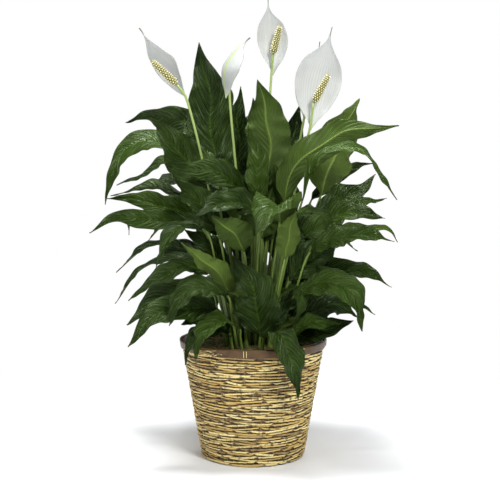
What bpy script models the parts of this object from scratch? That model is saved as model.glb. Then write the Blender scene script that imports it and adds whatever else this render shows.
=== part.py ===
"""A potted peace lily: a woven basket, its bands, liner, soil and moss, and the leaves and flowers."""
import math

import bmesh
import bpy
from mathutils import Matrix, Vector

CM = 0.01

# basket and what it holds, in metres
RIM_RADIUS = 0.135
RIM_HEIGHT = 0.215
BASE_RADIUS = 0.0945
WALL_SLOPE = 0.1726          # how far the wall leans out for each metre of height
WALL = 0.005
FLOOR = 0.006
BAND_HEIGHT = 0.014
BAND_THICKNESS = 0.003
LINER_WALL = 0.0015
LINER_TOP = 0.2085
SOIL_TOP = 0.1915
MOSS_TOP = 0.200
GAP = 0.0003               # clear space between pieces that touch in use
ROUND_STEPS = 48

# stems spread from the pot like a fan: all of them keep their order as they rise
FAN_HEIGHT = 0.20
FAN_SPREAD = 1.3
FAN_POWER = 1.25

PETIOLE_RADIUS = 0.0026
NECK_RADIUS = 0.0016
BLADE_HALF_THICKNESS = 0.0006
PETIOLE_STEPS = (0.0, 0.3, 0.6, 0.85)
BLADE_STEPS = (0.0, 0.05, 0.12, 0.22, 0.34, 0.46, 0.58, 0.70, 0.81, 0.91, 0.97, 1.0)

# every leaf: its name, width in cm, the heading it arches to, the turn of its face about
# the midrib and the twist added by its tip, in degrees, and its centre line from neck to tip in cm
LEAVES = [
    ("leaf_01", 9.0, 90, 0, 0, [(-6.4, 4.5, 51), (-7.9, 5.3, 63.2), (-10, 6, 75.8)]),
    ("leaf_02", 5.0, 180, 50, 100, [(-8.4, 9, 57.5), (-14, 12, 61.8), (-19.8, 14.5, 62.8),
                                    (-25, 16, 61.5)]),
    ("leaf_03", 8.0, 180, 70, 0, [(-6.5, -1, 46.5), (-12, -2.4, 54.2), (-18, -4, 61.5)]),
    ("leaf_04", 6.0, 180, 45, 15, [(-11.3, 3, 54.5), (-19, 5, 57.7), (-25.6, 7, 54), (-28, 8, 45.7)]),
    ("leaf_05", 4.2, 180, 25, 10, [(-9.5, 5.5, 50), (-16.6, 9, 54), (-21.6, 12, 51.3), (-26.6, 14, 49.2)]),
    ("leaf_06", 4.2, 180, 30, 0, [(-10.8, 3.2, 44.5), (-14.8, 4.5, 48.2), (-20.6, 7, 48.8),
                                  (-27.2, 9.5, 47.3)]),
    ("leaf_07", 5.8, 180, 55, 10, [(-8.6, -1.6, 41.5), (-13.7, -3.6, 45.4), (-19.3, -5.8, 46.9),
                                   (-25.4, -8, 47.3)]),
    ("leaf_08", 4.4, 180, 55, 60, [(-9, -5, 42), (-15.8, -8, 43.6), (-22.6, -11, 44.4),
                                   (-27.7, -13.5, 41.7)]),
    ("leaf_09", 4.0, 190, 30, 0, [(-8.5, -7, 42.2), (-13, -9.5, 41.9), (-15.4, -11, 39.2),
                                  (-16.6, -12, 35.7)]),
    ("leaf_10", 4.2, 180, 22, 0, [(-8, 5.5, 35.5), (-14.6, 8.5, 37.8), (-21.2, 12, 37.1), (-27, 15, 32)]),
    ("leaf_11", 4.2, 180, 18, 0, [(-7.2, 0.2, 33.2), (-13.6, 1, 35.9), (-20.8, 2.4, 33.4),
                                  (-25.8, 4, 27.3)]),
    ("leaf_12", 5.6, 170, 45, 0, [(-7.5, 8, 34.5), (-13.6, 12, 37.2), (-20.8, 15, 33.6)]),
    ("leaf_13", 4.0, 190, -60, 0, [(-3.6, -5.6, 30), (-7.3, -7.6, 35.2), (-12.5, -9, 39.7)]),
    ("leaf_14", 5.0, 185, 45, 0, [(-7.5, -2.6, 33.5), (-11.8, -5, 34.8), (-16.7, -7.5, 33.2),
                                  (-21.7, -9.5, 29.6)]),
    ("leaf_15", 6.0, 190, 55, 0, [(-7.5, -1, 30), (-13.4, -3.5, 29.9), (-18.9, -6, 27.7),
                                  (-22.2, -8, 25.1)]),
    ("leaf_16", 5.4, 195, 55, 0, [(-6, -5, 27), (-12.2, -8.5, 28.2), (-17.6, -11.5, 26.5),
                                  (-21.3, -14, 22.3)]),
    ("leaf_17", 4.8, 200, 40, 0, [(-4.5, -8.8, 30.5), (-9.6, -11.2, 32.3), (-12.8, -12.2, 29.8),
                                  (-14.4, -12.6, 25.7)]),
    ("leaf_18", 6.0, 180, 60, 0, [(-6.6, 2.6, 26.5), (-10.2, 4.5, 27.5), (-15.3, 6.5, 24.6)]),
    ("leaf_19", 4.4, 215, 20, 0, [(-2.4, -8.5, 24.5), (-6.2, -11, 26.2), (-9, -13, 23),
                                  (-9.9, -13.8, 19.9)]),
    ("leaf_20", 9.6, 90, 0, 0, [(1.2, -6.5, 22.8), (0.6, -7.5, 29.5), (-3.4, -8.5, 37.4)]),
    ("leaf_21", 5.6, 300, 0, 0, [(1.8, -8.4, 23), (4.4, -12.2, 24.3), (6.7, -14.8, 20),
                                 (7.6, -15.2, 13.5)]),
    ("leaf_22", 5.4, 0, -50, 0, [(6, 0, 23.5), (11.1, 0.8, 26.5), (15.7, 1.8, 27.2), (20, 3, 24.7)]),
    ("leaf_23", 5.6, 350, -60, 0, [(6.2, -2.6, 22.5), (9.7, -5.5, 23.9), (14, -8, 24.7),
                                   (17.4, -10, 26.2)]),
    ("leaf_24", 5.0, 355, -45, 0, [(7, -3.4, 29.5), (12.8, -5.5, 33.8), (18.7, -8, 34.6),
                                   (23.9, -10.5, 32.1)]),
    ("leaf_25", 6.0, 345, -45, 0, [(7.5, -7.2, 30.5), (13.4, -10, 33.3), (17.3, -12.4, 30.7),
                                   (18.6, -13.6, 24.9)]),
    ("leaf_26", 8.2, 270, 0, 0, [(2.7, 1, 51.5), (2.9, 1.2, 60), (0.8, 1.4, 68.6)]),
    ("leaf_27", 4.6, 90, 0, 0, [(6.2, 6, 50.5), (7.2, 6.8, 58.4), (9, 7.2, 64.7)]),
    ("leaf_28", 10.0, 0, 65, 0, [(12.5, 3, 47.5), (15.4, 5.5, 56.2), (20.2, 9, 65.7)]),
    ("leaf_29", 7.4, 0, 60, 60, [(5.4, -4, 46.2), (8.4, -4.4, 54.5), (15.1, -5.5, 58.3), (19.7, -7, 59.2),
                                 (25.1, -9, 59.9)]),
    ("leaf_30", 4.4, 355, -20, 0, [(8.6, -7, 47), (11.8, -10, 54.7), (17.5, -12, 55.7), (24.2, -14, 47.3)]),
    ("leaf_31", 6.4, 0, -60, 0, [(8.5, -1, 40), (14.1, 0, 45), (18.6, 1.5, 47.9), (22.6, 3, 51.5)]),
    ("leaf_32", 6.0, 355, -50, 0, [(9, -2.3, 39.8), (14.1, -5, 43.9), (18.8, -8, 44.9), (22.7, -10, 44)]),
    ("leaf_33", 4.6, 350, -45, 0, [(10, -7.5, 38), (14.8, -11, 41.2), (19.6, -13.5, 41.3),
                                   (23.6, -15.5, 40.4)]),
    ("leaf_34", 6.6, 350, -65, 0, [(6.5, -4.2, 32.5), (11.2, -5.2, 37.2), (16.4, -6.8, 40.9)]),
    ("leaf_35", 7.6, 255, 0, 0, [(4.8, -7.4, 43), (3.8, -13, 46.3), (0.4, -19.5, 41.8)]),
    ("leaf_36", 5.2, 190, 50, 0, [(1, -5.4, 43.5), (-2.4, -7.6, 46.9), (-6.3, -10.8, 46.2),
                                  (-10.2, -13.4, 44.3)]),
    ("leaf_37", 5.4, 185, 70, 0, [(-0.1, -1.2, 46), (-4.5, -5.6, 50.6), (-9.7, -8.5, 52.4),
                                  (-15, -11, 53.6)]),
    ("leaf_38", 5.4, 190, 65, 0, [(-6.3, -6.6, 41.5), (-10, -10, 47.3), (-13.6, -13, 51)]),
    ("leaf_39", 4.2, 90, 0, 0, [(0.9, -3.2, 46), (0.8, -3.8, 53), (-0.9, -4.2, 60.2)]),
    ("leaf_40", 4.6, 90, 0, 0, [(-2.6, 6, 51), (-2.8, 6.5, 59.2), (-2.3, 7, 67.8)]),
    ("leaf_41", 6.6, 60, 0, 0, [(6, 12, 40), (9, 17, 44), (12, 23, 40)]),
    ("leaf_42", 6.6, 120, 0, 0, [(-5, 12, 38), (-8, 18, 42), (-11, 24, 37)]),
    ("leaf_43", 6.8, 85, 0, 0, [(0.5, 11, 44), (1, 17, 49), (2, 24, 46)]),
    ("leaf_44", 6.0, 80, 0, 0, [(2, 9, 30), (4, 17, 33), (5, 24, 28)]),
]

# every flower: its name, the stalk's last bends up to the spadix and the spadix tip in cm,
# then the spathe's width in cm, the side its hollow faces, and its centre line in cm
FLOWERS = [
    ("flower_1", [(-11.7, -5, 64.8), (-13.3, -5.3, 67.1)], (-17.7, -6, 71.3),
     5.2, (-0.6, -0.72, -0.3), [(-11.8, -4, 65), (-15.1, -2.8, 71.2), (-18, -4.2, 74.4), (-19.9, -5, 77)]),
    ("flower_2", [(-4.2, -2.4, 65.5), (-4, -2.3, 68.3)], (-2.6, -2.1, 72),
     6.4, (0.9, 0.45, 0), [(-4.8, -2.6, 65), (-5, -2.7, 70), (-2.8, -2.4, 73.6), (-0.5, -2, 75.7)]),
    ("flower_3", [(3.4, 6, 69.5), (3.7, 6, 73.6)], (5, 5.6, 78.8),
     5.6, (0.1, -1, 0), [(3.8, 6.7, 69.8), (3.6, 7.6, 76), (2.9, 7.2, 80.5), (2.8, 6.6, 84)]),
    ("flower_4", [(10.2, -2, 60), (10.8, -2.2, 64.2)], (13.5, -2.8, 69.2),
     8.2, (0, -1, -0.1), [(10.4, -1.3, 59.4), (11.6, 0.2, 68), (13.2, -0.4, 74), (14.1, -1.2, 77.7)]),
    ("flower_5", [(9.3, 4, 61), (9.6, 4, 64)], (11, 3.8, 68.6),
     5.4, (-0.3, -0.9, 0), [(9.5, 4.7, 61.4), (10.8, 5.6, 68), (11.9, 5.2, 72.6), (12.3, 4.6, 75.8)]),
]

STALK_RADIUS = 0.0022
STALK_STEPS = (0, 0.15, 0.3, 0.45, 0.6, 0.75, 0.88, 0.97, 1.0)
SPADIX_RADIUS = 0.0070
SPADIX_STEPS = ((0.06, 0.75), (0.2, 1.0), (0.45, 1.0), (0.7, 0.88), (0.88, 0.62), (0.97, 0.3))
SPATHE_STEPS = (0.0, 0.05, 0.12, 0.22, 0.33, 0.45, 0.57, 0.68, 0.78, 0.87, 0.94, 1.0)
SPATHE_POINTS = 10
SPATHE_LEAST = 0.0012        # half-width where the spathe meets the stalk and at its tail
SPATHE_CUP = 0.45            # how far its edges rise, as a share of the half-width


def clear_scene():
    for thing in list(bpy.data.objects):
        bpy.data.objects.remove(thing, do_unlink=True)


def make_material(name, colour, roughness, metallic=0.0):
    material = bpy.data.materials.new(name)
    material.use_nodes = True
    shader = material.node_tree.nodes["Principled BSDF"]
    shader.inputs["Base Color"].default_value = (*colour, 1.0)
    shader.inputs["Roughness"].default_value = roughness
    shader.inputs["Metallic"].default_value = metallic
    return material


def add_object(name, rings, material, closed_loop=False):
    """Skin a list of rings of points into one closed solid, and name it."""
    mesh = bmesh.new()
    rows = [[mesh.verts.new(point) for point in ring] for ring in rings]
    pairs = list(zip(rows, rows[1:]))
    if closed_loop:
        pairs.append((rows[-1], rows[0]))
    for lower, upper in pairs:
        for i in range(len(lower)):
            j = (i + 1) % len(lower)
            mesh.faces.new((lower[i], lower[j], upper[j], upper[i]))
    if not closed_loop:
        mesh.faces.new(list(reversed(rows[0])))
        mesh.faces.new(rows[-1])
    bmesh.ops.recalc_face_normals(mesh, faces=mesh.faces[:])
    bmesh.ops.triangulate(mesh, faces=mesh.faces[:])
    data = bpy.data.meshes.new(name)
    mesh.to_mesh(data)
    mesh.free()
    data.materials.append(material)
    thing = bpy.data.objects.new(name, data)
    bpy.context.scene.collection.objects.link(thing)
    return thing


def circle(radius, height, steps=ROUND_STEPS):
    turns = [2 * math.pi * i / steps for i in range(steps)]
    return [Vector((radius * math.cos(a), radius * math.sin(a), height)) for a in turns]


def revolve(name, profile, material, closed_loop=False):
    """Turn a profile of (radius, height) points about Z."""
    return add_object(name, [circle(radius, height) for radius, height in profile], material, closed_loop)


def wall_radius(height):
    return BASE_RADIUS + WALL_SLOPE * height


def build_pot():
    straw = make_material("straw", (0.52, 0.36, 0.16), 0.7)
    band = make_material("band_wood", (0.20, 0.10, 0.05), 0.5)
    black = make_material("liner_black", (0.02, 0.02, 0.02), 0.35)
    earth = make_material("earth", (0.06, 0.04, 0.025), 0.95)
    moss = make_material("moss", (0.07, 0.08, 0.03), 0.95)

    wall_top = RIM_HEIGHT - 0.002
    revolve("basket", [
        (BASE_RADIUS - 0.006, 0.0),
        (BASE_RADIUS, 0.004),
        (wall_radius(0.03), 0.03),
        (wall_radius(wall_top), wall_top),
        (wall_radius(wall_top) - WALL, wall_top),
        (wall_radius(FLOOR + 0.004) - WALL, FLOOR + 0.004),
        (wall_radius(FLOOR) - WALL - 0.004, FLOOR),
    ], straw)

    low = RIM_HEIGHT - BAND_HEIGHT
    lean = 0.002
    revolve("rim_band_outer", [
        (RIM_RADIUS - BAND_THICKNESS - lean, low),
        (RIM_RADIUS - lean, low),
        (RIM_RADIUS, RIM_HEIGHT),
        (RIM_RADIUS - BAND_THICKNESS, RIM_HEIGHT),
    ], band, closed_loop=True)

    inner = wall_radius(low) - WALL - GAP
    inner_lean = WALL_SLOPE * BAND_HEIGHT
    revolve("rim_band_inner", [
        (inner - BAND_THICKNESS, low),
        (inner, low),
        (inner + inner_lean, RIM_HEIGHT),
        (inner + inner_lean - BAND_THICKNESS, RIM_HEIGHT),
    ], band, closed_loop=True)

    liner_outer_top = inner - BAND_THICKNESS - GAP
    liner_low = FLOOR + GAP
    liner_outer_low = wall_radius(liner_low) - WALL - 0.006
    floor_top = liner_low + LINER_WALL
    revolve("liner_pot", [
        (liner_outer_low, liner_low),
        (liner_outer_top, low),
        (liner_outer_top, LINER_TOP),
        (liner_outer_top - LINER_WALL, LINER_TOP),
        (liner_outer_top - LINER_WALL, low),
        (liner_outer_low - LINER_WALL, floor_top),
    ], black)

    def liner_inside(height):
        share = (height - floor_top) / (low - floor_top)
        return liner_outer_low - LINER_WALL + share * (liner_outer_top - liner_outer_low)

    soil_low = floor_top + GAP
    revolve("soil", [
        (liner_inside(soil_low) - GAP, soil_low),
        (liner_inside(SOIL_TOP) - GAP, SOIL_TOP),
    ], earth)
    moss_low = SOIL_TOP + GAP
    revolve("moss_layer", [
        (liner_inside(moss_low) - GAP, moss_low),
        (liner_inside(MOSS_TOP) - 0.003, MOSS_TOP - 0.002),
        (liner_inside(MOSS_TOP) - 0.010, MOSS_TOP),
    ], moss)


def fan(height):
    rise = max(0.0, (height - MOSS_TOP) / FAN_HEIGHT)
    return 1 + FAN_SPREAD * rise ** FAN_POWER


def stem_points(top, count=3):
    """Points of a stem from the moss up to its top, along the plant's fan."""
    foot = MOSS_TOP + GAP
    points = []
    for i in range(count):
        height = foot + (top.z - foot) * i / count
        share = fan(height) / fan(top.z)
        points.append(Vector((top.x * share, top.y * share, height)))
    return points


def smooth_path(points):
    """A smooth curve through points: a function from distance to place, and the distance at each point."""
    marks = [0.0]
    for a, b in zip(points, points[1:]):
        marks.append(marks[-1] + (b - a).length)
    slopes = []
    for i in range(len(points)):
        low = max(i - 1, 0)
        high = min(i + 1, len(points) - 1)
        slopes.append((points[high] - points[low]) / (marks[high] - marks[low]))

    def place(distance):
        i = 0
        while i < len(points) - 2 and distance > marks[i + 1]:
            i += 1
        span = marks[i + 1] - marks[i]
        t = (distance - marks[i]) / span
        return ((2 * t ** 3 - 3 * t ** 2 + 1) * points[i] + (t ** 3 - 2 * t ** 2 + t) * span * slopes[i]
                + (3 * t ** 2 - 2 * t ** 3) * points[i + 1] + (t ** 3 - t ** 2) * span * slopes[i + 1])

    return place, marks


def direction(place, distance, length):
    step = length * 0.01
    return (place(min(distance + step, length)) - place(max(distance - step, 0.0))).normalized()


def cross_ring(centre, side, normal, half_width, half_thickness, fold, points=6):
    """A flattened ring across a stem or a blade; fold lifts its edges."""
    ring = []
    for i in range(points):
        angle = 2 * math.pi * (i + 0.5 * (points % 4 != 0)) / points
        across = half_width * math.cos(angle)
        lift = half_thickness * math.sin(angle) + fold * abs(across)
        ring.append(centre + side * across + normal * lift)
    return ring


def blade_outline(u):
    """Half-width of a leaf along its blade, as a share of the widest."""
    belly = math.sin(math.pi * min(1.0, u) ** 0.75) ** 0.7
    point = 1 - 0.45 * u ** 5
    return belly * point


def leaf_rings(width, heading, turn, twist, centre_line):
    line = [Vector(point) * CM for point in centre_line]
    stem = stem_points(line[0])
    place, marks = smooth_path(stem + line)
    neck = marks[len(stem)]
    length = marks[-1]
    outward = Vector((math.cos(math.radians(heading)), math.sin(math.radians(heading)), 0))
    level = outward.cross(Vector((0, 0, 1)))
    stations = [(neck * share, 0.0) for share in PETIOLE_STEPS]
    stations += [(neck + (length - neck) * u, u) for u in BLADE_STEPS]
    rings = []
    for distance, u in stations:
        along = direction(place, distance, length) if distance > 0 else Vector((0, 0, 1))
        side = (level - along * level.dot(along)).normalized()
        side = Matrix.Rotation(-math.radians(turn + twist * u), 3, along) @ side
        normal = side.cross(along)
        stem_share = min(1.0, distance / neck)
        radius = PETIOLE_RADIUS + (NECK_RADIUS - PETIOLE_RADIUS) * stem_share
        half_width = max(radius * (1 - 0.7 * u), 0.5 * width * CM * blade_outline(u) if u > 0 else radius)
        thin = min(1.0, u / 0.2)
        half_thickness = radius + (BLADE_HALF_THICKNESS - radius) * thin
        rings.append(cross_ring(place(distance), side, normal, half_width, half_thickness, 0.25 * thin))
    return rings


def build_leaves():
    for number, (name, width, heading, turn, twist, centre_line) in enumerate(LEAVES):
        shade = 0.9 + 0.2 * ((number * 7) % 5) / 4
        green = make_material(name + "_green", (0.035 * shade, 0.085 * shade, 0.02 * shade), 0.4)
        add_object(name, leaf_rings(width, heading, turn, twist, centre_line), green)


def flower_stalk_rings(bends, spadix_tip):
    bends = [Vector(point) * CM for point in bends]
    stem = stem_points(bends[0])
    place, marks = smooth_path(stem + bends + [Vector(spadix_tip) * CM])
    top = marks[-2]
    length = marks[-1]
    stations = [(top * share, STALK_RADIUS) for share in STALK_STEPS]
    for u, share in SPADIX_STEPS:
        stations.append((top + (length - top) * u, SPADIX_RADIUS * share))
    rings = []
    for distance, radius in stations:
        along = direction(place, distance, length) if distance > 0 else Vector((0, 0, 1))
        side = along.cross(Vector((0.2, 1, 0.1))).normalized()
        rings.append(cross_ring(place(distance), side, side.cross(along), radius, radius, 0.0, 8))
    return rings


def spathe_outline(u):
    """Half-width of a spathe along its length, as a share of its width."""
    return 1.1 * math.sin(math.pi * u ** 0.85) ** 0.95 * (1 - 0.35 * u ** 2)


def spathe_rings(width, hollow_side, centre_line):
    line = [Vector(point) * CM for point in centre_line]
    place, marks = smooth_path(line)
    length = marks[-1]
    hollow = Vector(hollow_side).normalized()
    rings = []
    for u in SPATHE_STEPS:
        distance = length * u
        along = direction(place, distance, length)
        normal = (hollow - along * hollow.dot(along)).normalized()
        side = along.cross(normal)
        half_width = max(SPATHE_LEAST, 0.5 * width * CM * spathe_outline(u))
        ring = []
        for i in range(SPATHE_POINTS):
            angle = 2 * math.pi * i / SPATHE_POINTS
            across = math.cos(angle)
            lift = BLADE_HALF_THICKNESS * math.sin(angle) + SPATHE_CUP * half_width * across ** 2
            ring.append(place(distance) + side * half_width * across + normal * lift)
        rings.append(ring)
    return rings


def build_flowers():
    white = make_material("spathe_white", (0.82, 0.83, 0.78), 0.5)
    stalk = make_material("stalk_green", (0.30, 0.40, 0.10), 0.45)
    for name, bends, spadix_tip, width, hollow_side, centre_line in FLOWERS:
        add_object(name + "_stalk_spadix", flower_stalk_rings(bends, spadix_tip), stalk)
        add_object(name + "_spathe", spathe_rings(width, hollow_side, centre_line), white)


clear_scene()
build_pot()
build_leaves()
build_flowers()
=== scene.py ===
import math
import random

import bmesh
import bpy
import numpy as np
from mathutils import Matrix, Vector, noise


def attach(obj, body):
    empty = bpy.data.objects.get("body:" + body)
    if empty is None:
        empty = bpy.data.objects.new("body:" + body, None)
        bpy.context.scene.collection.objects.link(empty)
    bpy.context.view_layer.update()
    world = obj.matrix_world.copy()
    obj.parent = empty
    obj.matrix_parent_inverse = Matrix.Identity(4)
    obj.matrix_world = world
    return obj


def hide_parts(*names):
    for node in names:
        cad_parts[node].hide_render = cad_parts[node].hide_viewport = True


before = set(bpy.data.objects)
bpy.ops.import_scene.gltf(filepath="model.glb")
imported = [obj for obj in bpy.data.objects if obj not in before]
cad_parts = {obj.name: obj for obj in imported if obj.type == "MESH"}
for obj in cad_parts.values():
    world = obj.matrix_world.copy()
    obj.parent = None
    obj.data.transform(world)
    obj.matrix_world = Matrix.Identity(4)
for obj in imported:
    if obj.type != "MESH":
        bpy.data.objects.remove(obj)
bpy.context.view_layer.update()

cm = 0.01
turnAll = 2 * math.pi
print("frame loaded:", len(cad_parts), "nodes")


# ---------- mesh helpers ----------

def makePiece(name, points, faces, materials, faceMaterials=None, uv=None, values=None, smooth=True):
    mesh = bpy.data.meshes.new(name)
    mesh.from_pydata(np.asarray(points).tolist(), [], [[int(i) for i in f] for f in faces])
    outward = bmesh.new()
    outward.from_mesh(mesh)
    bmesh.ops.recalc_face_normals(outward, faces=outward.faces[:])
    outward.to_mesh(mesh)
    outward.free()
    for material in materials:
        mesh.materials.append(material)
    if faceMaterials is not None:
        mesh.polygons.foreach_set("material_index", np.asarray(faceMaterials, dtype=np.int32))
    mesh.polygons.foreach_set("use_smooth", np.full(len(mesh.polygons), smooth, dtype=bool))
    if uv is not None:
        layer = mesh.uv_layers.new(name="surfaceMap")
        corners = np.empty(len(mesh.loops), dtype=np.int32)
        mesh.loops.foreach_get("vertex_index", corners)
        layer.data.foreach_set("uv", np.asarray(uv, dtype=np.float32)[corners].ravel())
    for label, numbers in (values or {}).items():
        attribute = mesh.attributes.new(label, "FLOAT", "POINT")
        attribute.data.foreach_set("value", np.asarray(numbers, dtype=np.float32))
    mesh.update()
    piece = bpy.data.objects.new(name, mesh)
    bpy.context.scene.collection.objects.link(piece)
    return piece


def gridFaces(rows, columns, closeColumns=True, closeRows=False, start=0):
    last = rows if closeRows else rows - 1
    wide = columns if closeColumns else columns - 1
    r, c = np.meshgrid(np.arange(last), np.arange(wide), indexing="ij")
    a = r * columns + c
    b = r * columns + (c + 1) % columns
    d = ((r + 1) % rows) * columns + c
    e = ((r + 1) % rows) * columns + (c + 1) % columns
    return start + np.stack([a, b, e, d], axis=-1).reshape(-1, 4)


def joinParts(parts):
    # parts are (points, faces, uv, values); the result is one list of each
    points, faces, uv, values = [], [], [], {}
    count = 0
    for somePoints, someFaces, someUv, someValues in parts:
        points.append(np.asarray(somePoints))
        faces.extend([tuple(int(i) + count for i in face) for face in someFaces])
        uv.append(np.asarray(someUv))
        for label, numbers in someValues.items():
            values.setdefault(label, []).append(np.asarray(numbers))
        count += len(somePoints)
    return np.vstack(points), faces, np.vstack(uv), {k: np.concatenate(v) for k, v in values.items()}


def smoothStep(low, high, x):
    t = np.clip((x - low) / (high - low), 0, 1)
    return t * t * (3 - 2 * t)


def uvGrid(across, along):
    return np.stack(np.broadcast_arrays(across, along), axis=-1)


# a sheet of points: x goes to the side of the centre line and lift goes along its normal
def sheetPoints(centre, side, normal, x, lift):
    return centre[:, None, :] + side[:, None, :] * x[..., None] + normal[:, None, :] * lift[..., None]


def unit(vectors):
    return vectors / np.maximum(np.linalg.norm(vectors, axis=-1, keepdims=True), 1e-9)


def curveMarks(points):
    steps = np.linalg.norm(np.diff(points, axis=0), axis=1)
    return np.concatenate([[0], np.cumsum(steps)])


def curvePlaces(points, distances):
    # a smooth curve through the points, as the frame's stems and blades have
    marks = curveMarks(points)
    slopes = np.empty_like(points)
    for i in range(len(points)):
        low, high = max(i - 1, 0), min(i + 1, len(points) - 1)
        slopes[i] = (points[high] - points[low]) / (marks[high] - marks[low])
    index = np.clip(np.searchsorted(marks, distances, side="left") - 1, 0, len(points) - 2)
    span = (marks[index + 1] - marks[index])[:, None]
    t = (np.asarray(distances)[:, None] - marks[index][:, None]) / span
    return ((2 * t**3 - 3 * t**2 + 1) * points[index] + (t**3 - 2 * t**2 + t) * span * slopes[index]
            + (3 * t**2 - 2 * t**3) * points[index + 1] + (t**3 - t**2) * span * slopes[index + 1])


def curveDirections(points, distances):
    length = curveMarks(points)[-1]
    step = length * 0.01
    ahead = curvePlaces(points, np.minimum(distances + step, length))
    behind = curvePlaces(points, np.maximum(distances - step, 0))
    return unit(ahead - behind)


# ---------- shader helpers ----------

def newMaterial(name):
    material = bpy.data.materials.new(name)
    material.use_nodes = True
    return material, material.node_tree, material.node_tree.nodes["Principled BSDF"]


def addNode(tree, kind, inputs=None, **settings):
    node = tree.nodes.new(kind)
    for label, value in settings.items():
        setattr(node, label, value)
    for label, value in (inputs or {}).items():
        if isinstance(value, bpy.types.NodeSocket):
            tree.links.new(value, node.inputs[label])
        else:
            node.inputs[label].default_value = value
    return node


def mathNode(tree, operation, first, second=0.0, third=0.0, clamp=False):
    return addNode(tree, "ShaderNodeMath", {0: first, 1: second, 2: third},
                   operation=operation, use_clamp=clamp).outputs[0]


def times(tree, first, second):
    return mathNode(tree, "MULTIPLY", first, second)


def mixColour(tree, share, first, second):
    node = tree.nodes.new("ShaderNodeMix")
    node.data_type = "RGBA"
    for label, value in ((0, share), (6, first), (7, second)):
        if isinstance(value, bpy.types.NodeSocket):
            tree.links.new(value, node.inputs[label])
        elif label == 0:
            node.inputs[label].default_value = value
        else:
            node.inputs[label].default_value = (*value, 1.0)
    return node.outputs[2]


def remap(tree, value, fromLow, fromHigh, toLow, toHigh):
    return addNode(tree, "ShaderNodeMapRange", {"Value": value, "From Min": fromLow, "From Max": fromHigh,
                   "To Min": toLow, "To Max": toHigh}).outputs[0]


def attributeValue(tree, name):
    return addNode(tree, "ShaderNodeAttribute", attribute_name=name).outputs["Fac"]


def surfaceMap(tree):
    node = addNode(tree, "ShaderNodeUVMap", uv_map="surfaceMap")
    split = addNode(tree, "ShaderNodeSeparateXYZ", {0: node.outputs[0]})
    return node.outputs[0], split.outputs[0], split.outputs[1]


def objectPlace(tree):
    return addNode(tree, "ShaderNodeTexCoord").outputs["Object"]


def bumpNormal(tree, height, strength, distance):
    return addNode(tree, "ShaderNodeBump",
            {"Height": height, "Strength": strength, "Distance": distance}).outputs[0]


def newGroup(name, inputs, outputs):
    group = bpy.data.node_groups.new(name, "ShaderNodeTree")
    for label, kind, value in inputs:
        socket = group.interface.new_socket(label, in_out="INPUT", socket_type=kind)
        if value is not None:
            socket.default_value = value
    for label, kind in outputs:
        group.interface.new_socket(label, in_out="OUTPUT", socket_type=kind)
    return group, group.nodes.new("NodeGroupInput"), group.nodes.new("NodeGroupOutput")


def useGroup(tree, group, inputs):
    node = tree.nodes.new("ShaderNodeGroup")
    node.node_tree = group
    for label, value in inputs.items():
        if isinstance(value, bpy.types.NodeSocket):
            tree.links.new(value, node.inputs[label])
        else:
            node.inputs[label].default_value = value
    return node


# soft patches of one value over another, for colour that is never even
def buildMottle():
    group, source, target = newGroup("mottle",
            [("Place", "NodeSocketVector", None), ("Scale", "NodeSocketFloat", 40.0),
                                                ("Detail", "NodeSocketFloat", 3.0)], [("Value",
                                                        "NodeSocketFloat")])
    noise = addNode(group, "ShaderNodeTexNoise",
            {"Vector": source.outputs["Place"], "Scale": source.outputs["Scale"],
                                                  "Detail": source.outputs["Detail"]})
    spread = remap(group, noise.outputs["Fac"], 0.3, 0.7, 0.0, 1.0)
    group.links.new(spread, target.inputs["Value"])
    return group


# long fine fibres along the second direction of a flat map
def buildFibres():
    group, source, target = newGroup("fibres",
            [("Map", "NodeSocketVector", None), ("Across", "NodeSocketFloat", 60.0),
                                                ("Along", "NodeSocketFloat", 3.0)], [("Value",
                                                        "NodeSocketFloat")])
    scale = addNode(group, "ShaderNodeCombineXYZ",
            {0: source.outputs["Across"], 1: source.outputs["Along"], 2: 1.0})
    stretched = addNode(group, "ShaderNodeVectorMath", {0: source.outputs["Map"], 1: scale.outputs[0]},
            operation="MULTIPLY")
    noise = addNode(group, "ShaderNodeTexNoise",
            {"Vector": stretched.outputs[0], "Scale": 1.0, "Detail": 4.0})
    spread = remap(group, noise.outputs["Fac"], 0.3, 0.7, 0.0, 1.0)
    group.links.new(spread, target.inputs["Value"])
    return group


# veins that leave the midrib and sweep towards the tip; Line is 1 on a vein, Midrib is 1 on the midrib
def buildVeins():
    group, source, target = newGroup("veins",
            [("Across", "NodeSocketFloat", 0.5), ("Phase", "NodeSocketFloat", 0.5),
                                               ("Count", "NodeSocketFloat", 30.0)],
                                     [("Line", "NodeSocketFloat"), ("Midrib", "NodeSocketFloat"),
                                             ("Edge", "NodeSocketFloat")])
    centred = mathNode(group, "SUBTRACT", source.outputs["Across"], 0.5)
    edge = times(group, mathNode(group, "ABSOLUTE", centred), 2.0)
    phase = times(group, source.outputs["Phase"], source.outputs["Count"])
    wave = mathNode(group, "ABSOLUTE", mathNode(group, "SINE", times(group, phase, math.pi)))
    line = mathNode(group, "SUBTRACT", 1.0, mathNode(group, "POWER", wave, 0.5), clamp=True)
    midrib = remap(group, edge, 0.02, 0.09, 1.0, 0.0)
    group.links.new(line, target.inputs["Line"])
    group.links.new(midrib, target.inputs["Midrib"])
    group.links.new(edge, target.inputs["Edge"])
    return group


mottle = buildMottle()
fibres = buildFibres()
veins = buildVeins()


def patchValue(tree, scale, detail):
    inputs = {"Place": objectPlace(tree), "Scale": scale, "Detail": detail}
    return useGroup(tree, mottle, inputs).outputs["Value"]


def fibreValue(tree, surface, across, along):
    return useGroup(tree, fibres, {"Map": surface, "Across": across, "Along": along}).outputs["Value"]



# ---------- plant materials ----------

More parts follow.
